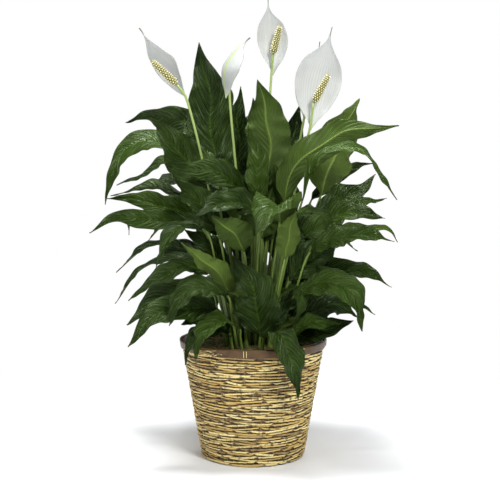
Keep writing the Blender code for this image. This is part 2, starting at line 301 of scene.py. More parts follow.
def makeLeafUpper():
    look = {"deep": (0.007, 0.018, 0.002), "mid": (0.029, 0.062, 0.006), "light": (0.100, 0.190, 0.016),
            "vein": (0.060, 0.120, 0.012), "paintedGlint": (0.40, 0.50, 0.25), "dryTip": (0.22, 0.17, 0.05)}
    material, tree, shader = newMaterial("leafUpper")
    _, across, along = surfaceMap(tree)
    tone = attributeValue(tree, "tone")
    veinMap = addNode(tree, "ShaderNodeCombineXYZ",
            {0: attributeValue(tree, "veinPhase"), 1: across, 2: tone}).outputs[0]
    patches = patchValue(tree, 28.0, 4.0)
    rib = useGroup(tree, veins, {"Across": across, "Phase": attributeValue(tree, "veinPhase"), "Count": 42.0})
    base = mixColour(tree, times(tree, patches, 0.7), look["deep"], look["mid"])
    base = mixColour(tree, tone, base, look["light"])
    base = mixColour(tree, times(tree, rib.outputs["Line"], 0.35), base, look["vein"])
    base = mixColour(tree, times(tree, rib.outputs["Midrib"], 0.55), base, look["vein"])
    dry = remap(tree, along, 0.965, 1.0, 0.0, 1.0)
    base = mixColour(tree, times(tree, dry, patches), base, look["dryTip"])
    streaks = fibreValue(tree, veinMap, 58.0, 2.2)
    # painted highlight: pale streaks along the veins stand in for the lamps' glints on the glossy leaf
    paintedGlints = times(tree, remap(tree, streaks, 0.76, 1.0, 0.0, 1.0),
            remap(tree, patches, 0.25, 0.85, 0.10, 0.85))
    base = mixColour(tree, paintedGlints, base, look["paintedGlint"])
    tree.links.new(base, shader.inputs["Base Color"])
    tree.links.new(remap(tree, streaks, 0.1, 0.9, 0.15, 0.42), shader.inputs["Roughness"])
    height = mathNode(tree, "MULTIPLY_ADD", rib.outputs["Line"], -0.6, times(tree, streaks, 0.9))
    tree.links.new(bumpNormal(tree, height, 1.0, 0.0026), shader.inputs["Normal"])
    shader.inputs["Specular IOR Level"].default_value = 0.50
    shader.inputs["Specular Tint"].default_value = (0.78, 1.0, 0.58, 1.0)
    return material


def makeLeafLower():
    look = {"shade": (0.017, 0.036, 0.004), "light": (0.042, 0.080, 0.009), "midrib": (0.155, 0.235, 0.040)}
    material, tree, shader = newMaterial("leafLower")
    place, across, _ = surfaceMap(tree)
    patches = patchValue(tree, 34.0, 3.0)
    rib = useGroup(tree, veins, {"Across": across, "Phase": attributeValue(tree, "veinPhase"), "Count": 42.0})
    base = mixColour(tree, patches, look["shade"], look["light"])
    base = mixColour(tree, times(tree, attributeValue(tree, "tone"), 0.75), base, look["midrib"])
    base = mixColour(tree, times(tree, rib.outputs["Line"], 0.4), base, look["midrib"])
    base = mixColour(tree, times(tree, rib.outputs["Midrib"], 0.85), base, look["midrib"])
    tree.links.new(base, shader.inputs["Base Color"])
    streaks = fibreValue(tree, place, 26.0, 3.0)
    tree.links.new(remap(tree, streaks, 0.0, 1.0, 0.42, 0.60), shader.inputs["Roughness"])
    height = mathNode(tree, "MULTIPLY_ADD", rib.outputs["Line"], 0.8, times(tree, streaks, 0.2))
    tree.links.new(bumpNormal(tree, height, 0.7, 0.0014), shader.inputs["Normal"])
    shader.inputs["Specular IOR Level"].default_value = 0.32
    shader.inputs["Specular Tint"].default_value = (0.85, 1.0, 0.60, 1.0)
    return material


def makeStemGreen(name, look):
    material, tree, shader = newMaterial(name)
    place, _, along = surfaceMap(tree)
    streaks = fibreValue(tree, place, 22.0, 5.0)
    base = mixColour(tree, streaks, look["dark"], look["light"])
    # painted shade: the lower part of each stem is darkened, as it stands in shade under the leaves
    foot = remap(tree, along, 0.0, 0.30, 1.0, 0.0)
    base = mixColour(tree, times(tree, foot, 0.85), base, look["foot"])
    tree.links.new(base, shader.inputs["Base Color"])
    tree.links.new(remap(tree, streaks, 0.0, 1.0, 0.32, 0.48), shader.inputs["Roughness"])
    tree.links.new(bumpNormal(tree, streaks, 0.35, 0.0006), shader.inputs["Normal"])
    return material


def makeSpatheWhite():
    look = {"white": (0.62, 0.63, 0.615), "shade": (0.49, 0.51, 0.49), "vein": (0.27, 0.30, 0.26),
            "green": (0.42, 0.52, 0.20), "tail": (0.14, 0.13, 0.06), "shadedRear": (0.40, 0.42, 0.40)}
    material, tree, shader = newMaterial("spatheWhite")
    place, across, along = surfaceMap(tree)
    back = attributeValue(tree, "back")
    patches = patchValue(tree, 30.0, 3.0)
    ribs = mathNode(tree, "POWER", mathNode(tree, "ABSOLUTE", mathNode(tree, "COSINE",
                    times(tree, mathNode(tree, "SUBTRACT", across, 0.5), math.pi * 21))), 9.0)
    streaks = fibreValue(tree, place, 30.0, 2.0)
    base = mixColour(tree, times(tree, patches, 0.5), look["white"], look["shade"])
    # painted shade: the outer face is greyed as if turned away from the light
    base = mixColour(tree, times(tree, back, 0.6), base, look["shadedRear"])
    base = mixColour(tree, times(tree, ribs, 0.26), base, look["vein"])
    foot = remap(tree, along, 0.0, 0.10, 1.0, 0.0)
    base = mixColour(tree, times(tree, foot, 0.75), base, look["green"])
    edge = times(tree, mathNode(tree, "ABSOLUTE", mathNode(tree, "SUBTRACT", across, 0.5)), 2.0)
    keel = times(tree, remap(tree, edge, 0.04, 0.16, 1.0, 0.0), back)
    base = mixColour(tree, times(tree, keel, 0.85), base, look["green"])
    tail = remap(tree, along, 0.90, 0.96, 0.0, 1.0)
    base = mixColour(tree, times(tree, tail, 0.9), base, look["tail"])
    tree.links.new(base, shader.inputs["Base Color"])
    tree.links.new(remap(tree, streaks, 0.0, 1.0, 0.42, 0.58), shader.inputs["Roughness"])
    height = mathNode(tree, "ADD", times(tree, ribs, 0.6), times(tree, streaks, 0.25))
    tree.links.new(bumpNormal(tree, height, 0.25, 0.0008), shader.inputs["Normal"])
    shader.inputs["Subsurface Weight"].default_value = 0.15
    shader.inputs["Subsurface Radius"].default_value = (0.004, 0.004, 0.003)
    return material


def makeSpadixCream():
    look = {"shadeBetweenFlorets": (0.12, 0.11, 0.014), "floret": (0.48, 0.43, 0.10), "top": (0.98, 0.95, 0.66)}
    material, tree, shader = newMaterial("spadixCream")
    raised = attributeValue(tree, "raised")
    patches = patchValue(tree, 120.0, 2.0)
    # painted shade: the low ground between the florets is dark, as shadow falls there
    base = mixColour(tree, remap(tree, raised, 0.10, 0.75, 0.0, 1.0), look["shadeBetweenFlorets"], look["floret"])
    base = mixColour(tree, times(tree, remap(tree, raised, 0.60, 0.92, 0.0, 1.0), 0.95), base, look["top"])
    base = mixColour(tree, times(tree, patches, 0.10), base, look["floret"])
    tree.links.new(base, shader.inputs["Base Color"])
    tree.links.new(remap(tree, patches, 0.0, 1.0, 0.5, 0.7), shader.inputs["Roughness"])
    tree.links.new(bumpNormal(tree, patches, 0.3, 0.0005), shader.inputs["Normal"])
    return material


leafUpper = makeLeafUpper()
leafLower = makeLeafLower()
# the foot colours are painted shade at the stem bases
petioleGreen = makeStemGreen("petioleGreen", {"dark": (0.075, 0.130, 0.018), "light": (0.230, 0.340, 0.060),
                                              "foot": (0.038, 0.046, 0.013)})
stalkGreen = makeStemGreen("stalkGreen", {"dark": (0.20, 0.30, 0.06), "light": (0.46, 0.58, 0.20),
                                          "foot": (0.10, 0.15, 0.04)})
spatheWhite = makeSpatheWhite()
spadixCream = makeSpadixCream()
print("plant materials made")

# ---------- stems that fan out of the pot ----------

fan = {"foot": 0.2003, "start": 0.200, "height": 0.20, "spread": 1.3, "power": 1.25, "bends": 3}


def fanShare(height):
    rise = max(0.0, (height - fan["start"]) / fan["height"])
    return 1 + fan["spread"] * rise ** fan["power"]


def stemPoints(top):
    points = []
    for i in range(fan["bends"]):
        height = fan["foot"] + (top[2] - fan["foot"]) * i / fan["bends"]
        share = fanShare(height) / fanShare(top[2])
        points.append((top[0] * share, top[1] * share, height))
    return points


# ---------- leaves ----------

leafForm = {
    "columns": 41, "bladeRings": 96, "stemRings": 14,
    "footRadius": 0.0030, "neckRadius": 0.0017, "sheath": 0.0016,
    "halfThickness": 0.00030, "veinCount": 14, "pleat": 0.00085, "sweep": 1.75,
    "fold": (0.32, 0.62), "roundness": 0.26, "waviness": 0.085, "sway": 0.022,
}

# name, width, heading, turn, twist and the centre line from neck to tip in cm, as in the frame; then tone
leafTable = [
    ("leaf_01", 9.0, 90, 0, 0, [(-6.4, 4.5, 51), (-7.9, 5.3, 63.2), (-10, 6, 75.8)], 0.0),
    ("leaf_02", 5.0, 180, 50, 100, [(-8.4, 9, 57.5), (-14, 12, 61.8), (-19.8, 14.5, 62.8),
                                    (-25, 16, 61.5)], 0.1),
    ("leaf_03", 8.0, 180, 70, 0, [(-6.5, -1, 46.5), (-12, -2.4, 54.2), (-18, -4, 61.5)], 0.12),
    ("leaf_04", 6.0, 180, 45, 15, [(-11.3, 3, 54.5), (-19, 5, 57.7), (-25.6, 7, 54), (-28, 8, 45.7)], 0.25),
    ("leaf_05", 4.2, 180, 25, 10, [(-9.5, 5.5, 50), (-16.6, 9, 54), (-21.6, 12, 51.3),
                                   (-26.6, 14, 49.2)], 0.15),
    ("leaf_06", 4.2, 180, 30, 0, [(-10.8, 3.2, 44.5), (-14.8, 4.5, 48.2), (-20.6, 7, 48.8),
                                  (-27.2, 9.5, 47.3)], 0.2),
    ("leaf_07", 5.8, 180, 55, 10, [(-8.6, -1.6, 41.5), (-13.7, -3.6, 45.4), (-19.3, -5.8, 46.9),
                                   (-25.4, -8, 47.3)], 0.2),
    ("leaf_08", 4.4, 180, 55, 60, [(-9, -5, 42), (-15.8, -8, 43.6), (-22.6, -11, 44.4),
                                   (-27.7, -13.5, 41.7)], 0.15),
    ("leaf_09", 4.0, 190, 30, 0, [(-8.5, -7, 42.2), (-13, -9.5, 41.9), (-15.4, -11, 39.2),
                                  (-16.6, -12, 35.7)], 0.05),
    ("leaf_10", 4.2, 180, 22, 0, [(-8, 5.5, 35.5), (-14.6, 8.5, 37.8), (-21.2, 12, 37.1),
                                  (-27, 15, 32)], 0.05),
    ("leaf_11", 4.2, 180, 18, 0, [(-7.2, 0.2, 33.2), (-13.6, 1, 35.9), (-20.8, 2.4, 33.4),
                                  (-25.8, 4, 27.3)], 0.05),
    ("leaf_12", 5.6, 170, 45, 0, [(-7.5, 8, 34.5), (-13.6, 12, 37.2), (-20.8, 15, 33.6)], 0.0),
    ("leaf_13", 4.0, 190, -60, 0, [(-3.6, -5.6, 30), (-7.3, -7.6, 35.2), (-12.5, -9, 39.7)], 0.8),
    ("leaf_14", 5.0, 185, 45, 0, [(-7.5, -2.6, 33.5), (-11.8, -5, 34.8), (-16.7, -7.5, 33.2),
                                  (-21.7, -9.5, 29.6)], 0.1),
    ("leaf_15", 6.0, 190, 55, 0, [(-7.5, -1, 30), (-13.4, -3.5, 29.9), (-18.9, -6, 27.7),
                                  (-22.2, -8, 25.1)], 0.1),
    ("leaf_16", 5.4, 195, 55, 0, [(-6, -5, 27), (-12.2, -8.5, 28.2), (-17.6, -11.5, 26.5),
                                  (-21.3, -14, 22.3)], 0.1),
    ("leaf_17", 4.8, 200, 40, 0, [(-4.5, -8.8, 30.5), (-9.6, -11.2, 32.3), (-12.8, -12.2, 29.8),
                                  (-14.4, -12.6, 25.7)], 0.1),
    ("leaf_18", 6.0, 180, 60, 0, [(-6.6, 2.6, 26.5), (-10.2, 4.5, 27.5), (-15.3, 6.5, 24.6)], 0.0),
    ("leaf_19", 4.4, 215, 20, 0, [(-2.4, -8.5, 24.5), (-6.2, -11, 26.2), (-9, -13, 23),
                                  (-9.9, -13.8, 19.9)], 0.3),
    ("leaf_20", 9.6, 90, 0, 0, [(1.2, -6.5, 22.8), (0.6, -7.5, 29.5), (-3.4, -8.5, 37.4)], 0.03),
    ("leaf_21", 5.6, 300, 0, 0, [(1.8, -8.4, 23), (4.4, -12.2, 24.3), (6.7, -14.8, 20),
                                 (7.6, -15.2, 13.5)], 0.08),
    ("leaf_22", 5.4, 0, -50, 0, [(6, 0, 23.5), (11.1, 0.8, 26.5), (15.7, 1.8, 27.2), (20, 3, 24.7)], 0.0),
    ("leaf_23", 5.6, 350, -60, 0, [(6.2, -2.6, 22.5), (9.7, -5.5, 23.9), (14, -8, 24.7),
                                   (17.4, -10, 26.2)], 0.0),
    ("leaf_24", 5.0, 355, -45, 0, [(7, -3.4, 29.5), (12.8, -5.5, 33.8), (18.7, -8, 34.6),
                                   (23.9, -10.5, 32.1)], 0.15),
    ("leaf_25", 6.0, 345, -45, 0, [(7.5, -7.2, 30.5), (13.4, -10, 33.3), (17.3, -12.4, 30.7),
                                   (18.6, -13.6, 24.9)], 0.25),
    ("leaf_26", 8.2, 270, 0, 0, [(2.7, 1, 51.5), (2.9, 1.2, 60), (0.8, 1.4, 68.6)], 0.05),
    ("leaf_27", 4.6, 90, 0, 0, [(6.2, 6, 50.5), (7.2, 6.8, 58.4), (9, 7.2, 64.7)], 0.05),
    ("leaf_28", 10.0, 0, 65, 0, [(12.5, 3, 47.5), (15.4, 5.5, 56.2), (20.2, 9, 65.7)], 0.3),
    ("leaf_29", 7.4, 0, 60, 60, [(5.4, -4, 46.2), (8.4, -4.4, 54.5), (15.1, -5.5, 58.3), (19.7, -7, 59.2),
                                 (25.1, -9, 59.9)], 0.1),
    ("leaf_30", 4.4, 355, -20, 0, [(8.6, -7, 47), (11.8, -10, 54.7), (17.5, -12, 55.7),
                                   (24.2, -14, 47.3)], 0.3),
    ("leaf_31", 6.4, 0, -60, 0, [(8.5, -1, 40), (14.1, 0, 45), (18.6, 1.5, 47.9), (22.6, 3, 51.5)], 0.05),
    ("leaf_32", 6.0, 355, -50, 0, [(9, -2.3, 39.8), (14.1, -5, 43.9), (18.8, -8, 44.9),
                                   (22.7, -10, 44)], 0.2),
    ("leaf_33", 4.6, 350, -45, 0, [(10, -7.5, 38), (14.8, -11, 41.2), (19.6, -13.5, 41.3),
                                   (23.6, -15.5, 40.4)], 0.25),
    ("leaf_34", 6.6, 350, -65, 0, [(6.5, -4.2, 32.5), (11.2, -5.2, 37.2), (16.4, -6.8, 40.9)], 0.05),
    ("leaf_35", 7.6, 255, 0, 0, [(4.8, -7.4, 43), (3.8, -13, 46.3), (0.4, -19.5, 41.8)], 0.25),
    ("leaf_36", 5.2, 190, 50, 0, [(1, -5.4, 43.5), (-2.4, -7.6, 46.9), (-6.3, -10.8, 46.2),
                                  (-10.2, -13.4, 44.3)], 0.0),
    ("leaf_37", 5.4, 185, 70, 0, [(-0.1, -1.2, 46), (-4.5, -5.6, 50.6), (-9.7, -8.5, 52.4),
                                  (-15, -11, 53.6)], 0.1),
    ("leaf_38", 5.4, 190, 65, 0, [(-6.3, -6.6, 41.5), (-10, -10, 47.3), (-13.6, -13, 51)], 0.12),
    ("leaf_39", 4.2, 90, 0, 0, [(0.9, -3.2, 46), (0.8, -3.8, 53), (-0.9, -4.2, 60.2)], 0.35),
    ("leaf_40", 4.6, 90, 0, 0, [(-2.6, 6, 51), (-2.8, 6.5, 59.2), (-2.3, 7, 67.8)], 0.0),
    ("leaf_41", 6.6, 60, 0, 0, [(6, 12, 40), (9, 17, 44), (12, 23, 40)], 0.1),
    ("leaf_42", 6.6, 120, 0, 0, [(-5, 12, 38), (-8, 18, 42), (-11, 24, 37)], 0.1),
    ("leaf_43", 6.8, 85, 0, 0, [(0.5, 11, 44), (1, 17, 49), (2, 24, 46)], 0.15),
    ("leaf_44", 6.0, 80, 0, 0, [(2, 9, 30), (4, 17, 33), (5, 24, 28)], 0.1),
]

# smaller leaves between the others, which the frame leaves out
fillTable = [
    ("fillLeaf_01", 3.6, 180, 40, 0, [(-10.5, 10.5, 47.5), (-15.7, 12, 50.5), (-21.3, 13, 49.2)], 0.0),
    ("fillLeaf_02", 3.6, 220, 20, 0,
            [(-4, -7.5, 23), (-8.5, -10.6, 24.4), (-11.2, -12.4, 21.8), (-11.6, -13, 19)], 0.0),
    ("fillLeaf_03", 3.8, 350, 60, 0, [(3.4, -5, 22.5), (6.2, -6.2, 24.8), (9.9, -7.2, 26.2)], 0.4),
    ("fillLeaf_04", 3.2, 345, -50, 0, [(6, -6.6, 23.5), (10.6, -9, 25.6), (15, -11, 25.8)], 0.3),
    ("fillLeaf_05", 3.6, 10, -40, 0, [(9, 4, 26), (16.5, 6, 28), (23.4, 8, 24.6)], 0.3),
    ("fillLeaf_06", 3.8, 300, 0, 0,
            [(5.2, -5.9, 30.5), (8.2, -8.2, 31.7), (8.6, -9.4, 28.9), (7.1, -10, 26.5)], 0.15),
    ("fillLeaf_07", 2.8, 10, -70, 0,
            [(11, 7, 46.5), (16.2, 8.5, 50.7), (19.8, 10, 53.1), (23.2, 11, 53.5)], 0.0),
    ("fillLeaf_08", 3.8, 5, -35, 0, [(12, 3, 42), (18, 4, 45.7), (25, 5, 47)], 0.3),
    ("fillLeaf_09", 3.0, 350, 40, 0,
            [(11, -6, 39.5), (18, -8.5, 42.2), (23.4, -10, 42.0), (24.9, -10.4, 39.9)], 0.4),
    ("fillLeaf_10", 4.2, 330, -20, 0,
            [(6.5, -6.5, 43), (9.7, -9.5, 45.2), (12.1, -12, 44.2), (12.4, -13.4, 41.6)], 0.15),
    ("fillLeaf_11", 4.2, 270, 0, 0, [(5.5, -8.4, 36.8), (6.1, -10, 41), (7.3, -11.6, 45.4)], 0.45),
    ("fillLeaf_12", 5.8, 200, -60, 0, [(-1.6, -7, 38), (-3.8, -9, 41.6), (-7.2, -10.4, 44.4)], 0.15),
    ("fillLeaf_13", 5.4, 150, 0, 0, [(-9, 8, 40), (-15, 13, 43), (-21, 18, 38)], 0.1),
    ("fillLeaf_14", 5.6, 30, 0, 0, [(9, 8, 36), (15, 13, 40), (21, 18, 36)], 0.1),
    ("fillLeaf_15", 5.6, 100, 0, 0, [(-2, 10, 50), (-4, 15, 55), (-6, 21, 52)], 0.05),
    ("fillLeaf_16", 5.4, 60, 0, 0, [(4, 9, 50), (7, 14, 54), (11, 19, 51)], 0.1),
    ("fillLeaf_17", 5.4, 140, 0, 0, [(-5, 9, 28), (-9, 14, 31), (-14, 19, 26)], 0.1),
    ("fillLeaf_18", 5.2, 45, 0, 0, [(6, 7, 27), (10, 12, 29), (15, 17, 25)], 0.1),
    ("fillLeaf_19", 5.8, 90, 0, 0, [(1, 7, 52), (1, 9, 60), (0, 12, 66)], 0.05),
    ("fillLeaf_20", 6.2, 100, 0, 0, [(-4, 3, 40), (-5.5, 4, 49), (-6.5, 4.8, 56)], 0.0),
    ("fillLeaf_21", 6.2, 80, 0, 0, [(3.6, 3, 36), (5, 3.6, 45), (6, 4.4, 52)], 0.0),
    ("fillLeaf_22", 5.4, 90, 0, 0, [(-1.4, 2.4, 34), (-2, 3, 42), (-2.4, 3.4, 48)], 0.0),
    ("fillLeaf_23", 5.8, 120, 10, 0, [(-3, 1.6, 27), (-5, 2.6, 34), (-7.5, 4, 40)], 0.0),
    ("fillLeaf_24", 5.8, 60, -10, 0, [(4, 1.8, 27), (6, 2.8, 34), (8.6, 4, 40)], 0.0),
    ("fillLeaf_25", 5.0, 250, 0, 0, [(-1.5, -6.4, 26), (-2.6, -8, 30), (-4.6, -10.5, 31.5)], 0.1),
    ("fillLeaf_26", 5.2, 95, 0, 0, [(0.2, 4, 22), (0.2, 6, 30), (0.4, 7.6, 37)], 0.0),
    ("fillLeaf_27", 7.0, 180, 55, 0, [(0.8, -2.2, 45.6), (-4, -2.6, 49.4), (-10.2, -3.2, 50.6)], 0.05),
    ("fillLeaf_28", 5.2, 270, 0, 0, [(6, -1.8, 43.6), (5.4, -2.2, 48.6), (3.6, -2.8, 53.6)], 0.1),
    ("fillLeaf_29", 2.8, 190, 30, 0,
            [(-8.8, -3, 42.4), (-15.6, -4, 45.2), (-21.6, -4.8, 44.2), (-22, -5.4, 40.8)], 0.1),
    ("fillLeaf_30", 6.4, 180, 60, 0, [(-5, 0.5, 40.5), (-9.4, -0.6, 45), (-14.6, -1.4, 48.5)], 0.0),
    ("fillLeaf_31", 6.0, 180, 50, 0, [(-6, 4, 49), (-10.6, 5, 55), (-15.8, 6, 59.5)], 0.0),
    ("fillLeaf_32", 6.0, 0, -60, 0, [(5.6, -1.8, 37), (10.2, -1.6, 42), (15, -1.2, 45.5)], 0.0),
    ("fillLeaf_33", 5.6, 0, -50, 0, [(5, -5, 27), (9, -6.4, 31), (13.4, -7.6, 33.5)], 0.0),
    ("fillLeaf_34", 4.4, 180, 55, 0, [(-4.6, -3.5, 34), (-8.2, -4.8, 39), (-12.4, -6, 42)], 0.05),
    ("fillLeaf_35", 5.2, 200, 50, 0, [(-4.2, -6, 23.4), (-8.4, -7.6, 26.2), (-12.6, -9, 25.4)], 0.0),
    ("fillLeaf_36", 5.0, 340, -40, 0, [(3.2, -6, 24), (6.8, -7.6, 28.6), (10.6, -9, 29.6)], 0.0),
]


def bladeOutline(u):
    belly = np.sin(math.pi * np.clip(u, 0, 1) ** 0.75) ** 0.78
    return belly * (1 - 0.48 * smoothStep(0.58, 1.0, u))


def leafSurface(width, heading, turn, twist, centreLine, seed):
    dice = random.Random(seed)
    form = leafForm
    line = [tuple(c * cm for c in point) for point in centreLine]
    stem = stemPoints(line[0])
    points = np.array(stem + line)
    marks = curveMarks(points)
    neck, length = marks[len(stem)], marks[-1]
    share = np.linspace(0, 1, form["stemRings"], endpoint=False)
    t = np.linspace(0, 1, form["bladeRings"])
    u = t - 0.045 * np.sin(turnAll * t)
    distance = np.concatenate([neck * share, neck + (length - neck) * u])
    blade = np.concatenate([np.zeros(len(share)), u])
    stemShare = np.minimum(1, distance / neck)
    centre = curvePlaces(points, distance)
    along = curveDirections(points, distance)
    along[0] = (0, 0, 1)
    aim = math.radians(heading)
    level = np.array([math.sin(aim), -math.cos(aim), 0.0])
    side = unit(level - along * (along @ level)[:, None])
    roll = -np.radians(turn + twist * blade)[:, None]
    side = side * np.cos(roll) + np.cross(along, side) * np.sin(roll)
    normal = np.cross(side, along)

    w = np.linspace(-1, 1, form["columns"])
    v = np.sign(w) * np.abs(w) ** 1.3
    widest = 0.5 * width * cm
    bladeLength = length - neck
    half = np.maximum(widest * bladeOutline(blade), 0.0011)[:, None]
    alongGrid, acrossGrid = blade[:, None], v[None, :]
    edge = np.abs(acrossGrid)
    across = half * acrossGrid
    # the fold opens and closes along the blade, and the midrib sways a little
    fold = dice.uniform(*form["fold"]) + 0.14 * np.sin(turnAll * (1.3 * alongGrid + dice.uniform(0, 1)))
    lift = half * (fold * edge - form["roundness"] * edge ** 2)
    sway = (form["sway"] * bladeLength * np.sin(math.pi * alongGrid)
            * np.sin(turnAll * (1.6 * alongGrid + dice.uniform(0, 1))))
    ragged = 1 + 0.05 * np.sin(turnAll * (4.3 * alongGrid + dice.uniform(0, 1))) * edge ** 3
    across = across * ragged + sway
    wave = np.zeros_like(across)
    for sign in (-1, 1):
        count = dice.uniform(1.8, 3.4)
        phase = dice.uniform(0, 1)
        strength = dice.uniform(0.7, 1.3)
        one = (strength * np.sin(turnAll * (count * alongGrid + phase))
               + 0.35 * np.sin(turnAll * (2.7 * count * alongGrid + 2 * phase)))
        wave = np.where(np.sign(acrossGrid) == sign, one, wave)
    lift = (lift + form["waviness"] * 2 * widest * edge ** 1.7 * wave
            * np.sin(math.pi * np.clip(alongGrid, 0, 1)) ** 0.4)
    bend = dice.uniform(-0.05, 0.05) * bladeLength
    lift = lift + bend * np.sin(math.pi * alongGrid) * 0.25
    sweep = min(0.36, max(0.16, form["sweep"] * widest / bladeLength))
    veinPhase = alongGrid - sweep * edge ** 1.2
    phase = form["veinCount"] * veinPhase + dice.uniform(0, 1)
    window = smoothStep(0.03, 0.25, edge) * (1 - smoothStep(0.85, 1.0, edge)) * np.minimum(1, half / 0.018)
    lift = lift + form["pleat"] * np.cos(turnAll * phase) * window

    radius = form["footRadius"] + (form["neckRadius"] - form["footRadius"]) * stemShare
    radius = radius + 0.0006 * np.exp(-((stemShare - 0.95) / 0.04) ** 2) * (blade == 0)
    radius = (radius * (1 - 0.75 * blade))[:, None]
    sheath = (1 + form["sheath"] / form["footRadius"] * (1 - smoothStep(0.0, 0.55, stemShare)))[:, None]
    thick = form["halfThickness"]
    fromMidrib = half * acrossGrid
    groove = 0.0006 * np.exp(-(fromMidrib / 0.0018) ** 2) * (1 - alongGrid)
    ridge = 1.1 * radius * np.exp(-(fromMidrib / (1.1 * radius)) ** 2)
    topBlade = lift + thick * (1 - edge ** 6) - groove
    lowBlade = lift - thick * (1 - edge ** 6) - ridge
    angle = (w * math.pi / 2)[None, :]
    xStem = radius * sheath * np.sin(angle)
    topStem = radius * np.cos(angle) * 0.85
    lowStem = -radius * np.cos(angle)
    blend = smoothStep(0.0, 0.09, alongGrid)
    x = xStem * (1 - blend) + across * blend
    top = topStem * (1 - blend) + topBlade * blend
    low = lowStem * (1 - blend) + lowBlade * blend
    topPoints = sheetPoints(centre, side, normal, x, top)
    lowPoints = sheetPoints(centre, side, normal, x, low)
    rings = np.concatenate([topPoints, lowPoints[:, -2:0:-1, :]], axis=1)
    uvAcross = 0.5 + 0.5 * np.concatenate([v, v[-2:0:-1]])
    uvAlong = np.where(blade > 0, blade, stemShare * 0.999)
    uv = uvGrid(uvAcross[None, :], uvAlong[:, None])
    veinPhase = np.concatenate([veinPhase, veinPhase[:, -2:0:-1]], axis=1)
    return rings, uv, veinPhase, len(share)


# a few blades are drawn slimmer than their CAD sheets, so that the gaps between them stay open
narrower = {"leaf_29": 0.78, "leaf_28": 0.90, "leaf_37": 0.92, "leaf_20": 0.84}
narrower.update({f"leaf_{number:02d}": 0.80 for number in (4, 5, 6, 7, 8, 10, 11, 12, 14)})


def buildLeaf(row, replaced):
    name, width, heading, turn, twist, centreLine, tone = row
    width = width * narrower.get(name, 1.0)
    seed = sum(ord(letter) * (i + 1) for i, letter in enumerate(name))
    rings, uv, veinPhase, stemRows = leafSurface(width, heading, turn, twist, centreLine, seed)
    rows, around = rings.shape[:2]
    faces = gridFaces(rows, around)
    column = np.tile(np.arange(around), rows - 1)
    row = np.repeat(np.arange(rows - 1), around)
    topColumns = leafForm["columns"] - 1
    kinds = np.where(row < stemRows, 2, np.where(column < topColumns, 0, 1))
    faces = [tuple(f) for f in faces[:, ::-1]]
    kinds = list(kinds)
    faces.append(tuple(range(around)))
    kinds.append(2)
    faces.append(tuple(rows * around - 1 - i for i in range(around)))
    kinds.append(0)
    values = {"tone": np.full(rows * around, tone), "veinPhase": veinPhase.ravel() + 1}
    title = name.replace("leaf_", "leafBlade_")
    piece = makePiece(title, rings.reshape(-1, 3), faces, [leafUpper, leafLower, petioleGreen], kinds,
                      uv.reshape(-1, 2), values)
    if replaced:
        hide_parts(name)
    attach(piece, "root")
    return piece


innerLeaves = {"count": 22, "turn": 137.5, "low": 38, "high": 48, "reach": 4.2, "forward": 2.4, "width": 5.6}


def innerRows():
    # a spiral of upright leaves fills the heart of the plant
    dice = random.Random(3)
    form = innerLeaves
    rows = []
    for i in range(form["count"]):
        heading = (i * form["turn"]) % 360
        aim = math.radians(heading)
        level = form["low"] + (form["high"] - form["low"]) * ((i * 0.618) % 1)
        reach = form["reach"] * dice.uniform(0.5, 1.15) * (0.9 + 0.2 * (level - form["low"]) / 13)
        x, y = reach * math.cos(aim), form["forward"] + 0.9 * reach * math.sin(aim)
        rise = dice.uniform(8, 11)
        line = []
        for k, away in ((0.0, 0.0), (0.55, 1.6), (1.0, 4.4)):
            line.append((x + away * math.cos(aim), y + 0.9 * away * math.sin(aim),
                    level + rise * k - 0.08 * away ** 2))
        width = form["width"] * dice.uniform(0.75, 1.05)
        rows.append((f"innerLeaf_{i + 1:02d}", width, heading, dice.uniform(-35, 35),
                dice.uniform(-15, 15), line, 0.0))
    return rows


for leafRow in leafTable:
    buildLeaf(leafRow, True)
for leafRow in fillTable + innerRows():
    buildLeaf(leafRow, False)
print("leaves made:", len(leafTable) + len(fillTable) + innerLeaves["count"])

# ---------- flowers ----------

flowerForm = {"stalkRadius": 0.0022, "spadixRadius": 0.0068, "floretsAround": 8, "floretRows": 15,
              "spatheColumns": 33, "spatheRings": 70, "cup": 0.45, "ribs": 7, "ribHeight": 0.00030,
                      "wrap": 1.25}

# name, stalk bends, spadix tip, spathe width, the side its hollow faces, spathe centre line in cm
flowerTable = [
    ("flower_1", [(-11.7, -5, 64.8), (-13.3, -5.3, 67.1)], (-17.7, -6, 71.3),
     5.2, (-0.6, -0.72, -0.3), [(-11.8, -4, 65), (-15.1, -2.8, 71.2), (-18, -4.2, 74.4), (-19.9, -5, 77)]),
    ("flower_2", [(-4.2, -2.4, 65.5), (-4, -2.3, 68.3)], (-2.6, -2.1, 72),
     6.4, (0.9, 0.45, 0), [(-4.8, -2.6, 65), (-5, -2.7, 70), (-2.8, -2.4, 73.6), (-0.5, -2, 75.7)]),
    ("flower_3", [(3.4, 6, 69.5), (3.7, 6, 73.6)], (5, 5.6, 78.8),
     5.6, (0.1, -1, 0), [(3.8, 6.7, 69.8), (3.6, 7.6, 76), (2.9, 7.2, 80.5), (2.8, 6.6, 84)]),
    ("flower_4", [(10.2, -2, 60), (10.8, -2.2, 64.2)], (13.5, -2.8, 69.2),
     8.2, (0, -1, -0.1), [(10.4, -1.3, 59.4), (11.6, 0.2, 68), (13.2, -0.4, 74), (14.1, -1.2, 77.7)]),
    ("flower_5", [(9.3, 4, 61), (9.6, 4, 64)], (11, 3.8, 68.6),
     5.4, (-0.3, -0.9, 0), [(9.5, 4.7, 61.4), (10.8, 5.6, 68), (11.9, 5.2, 72.6), (12.3, 4.6, 75.8)]),
]


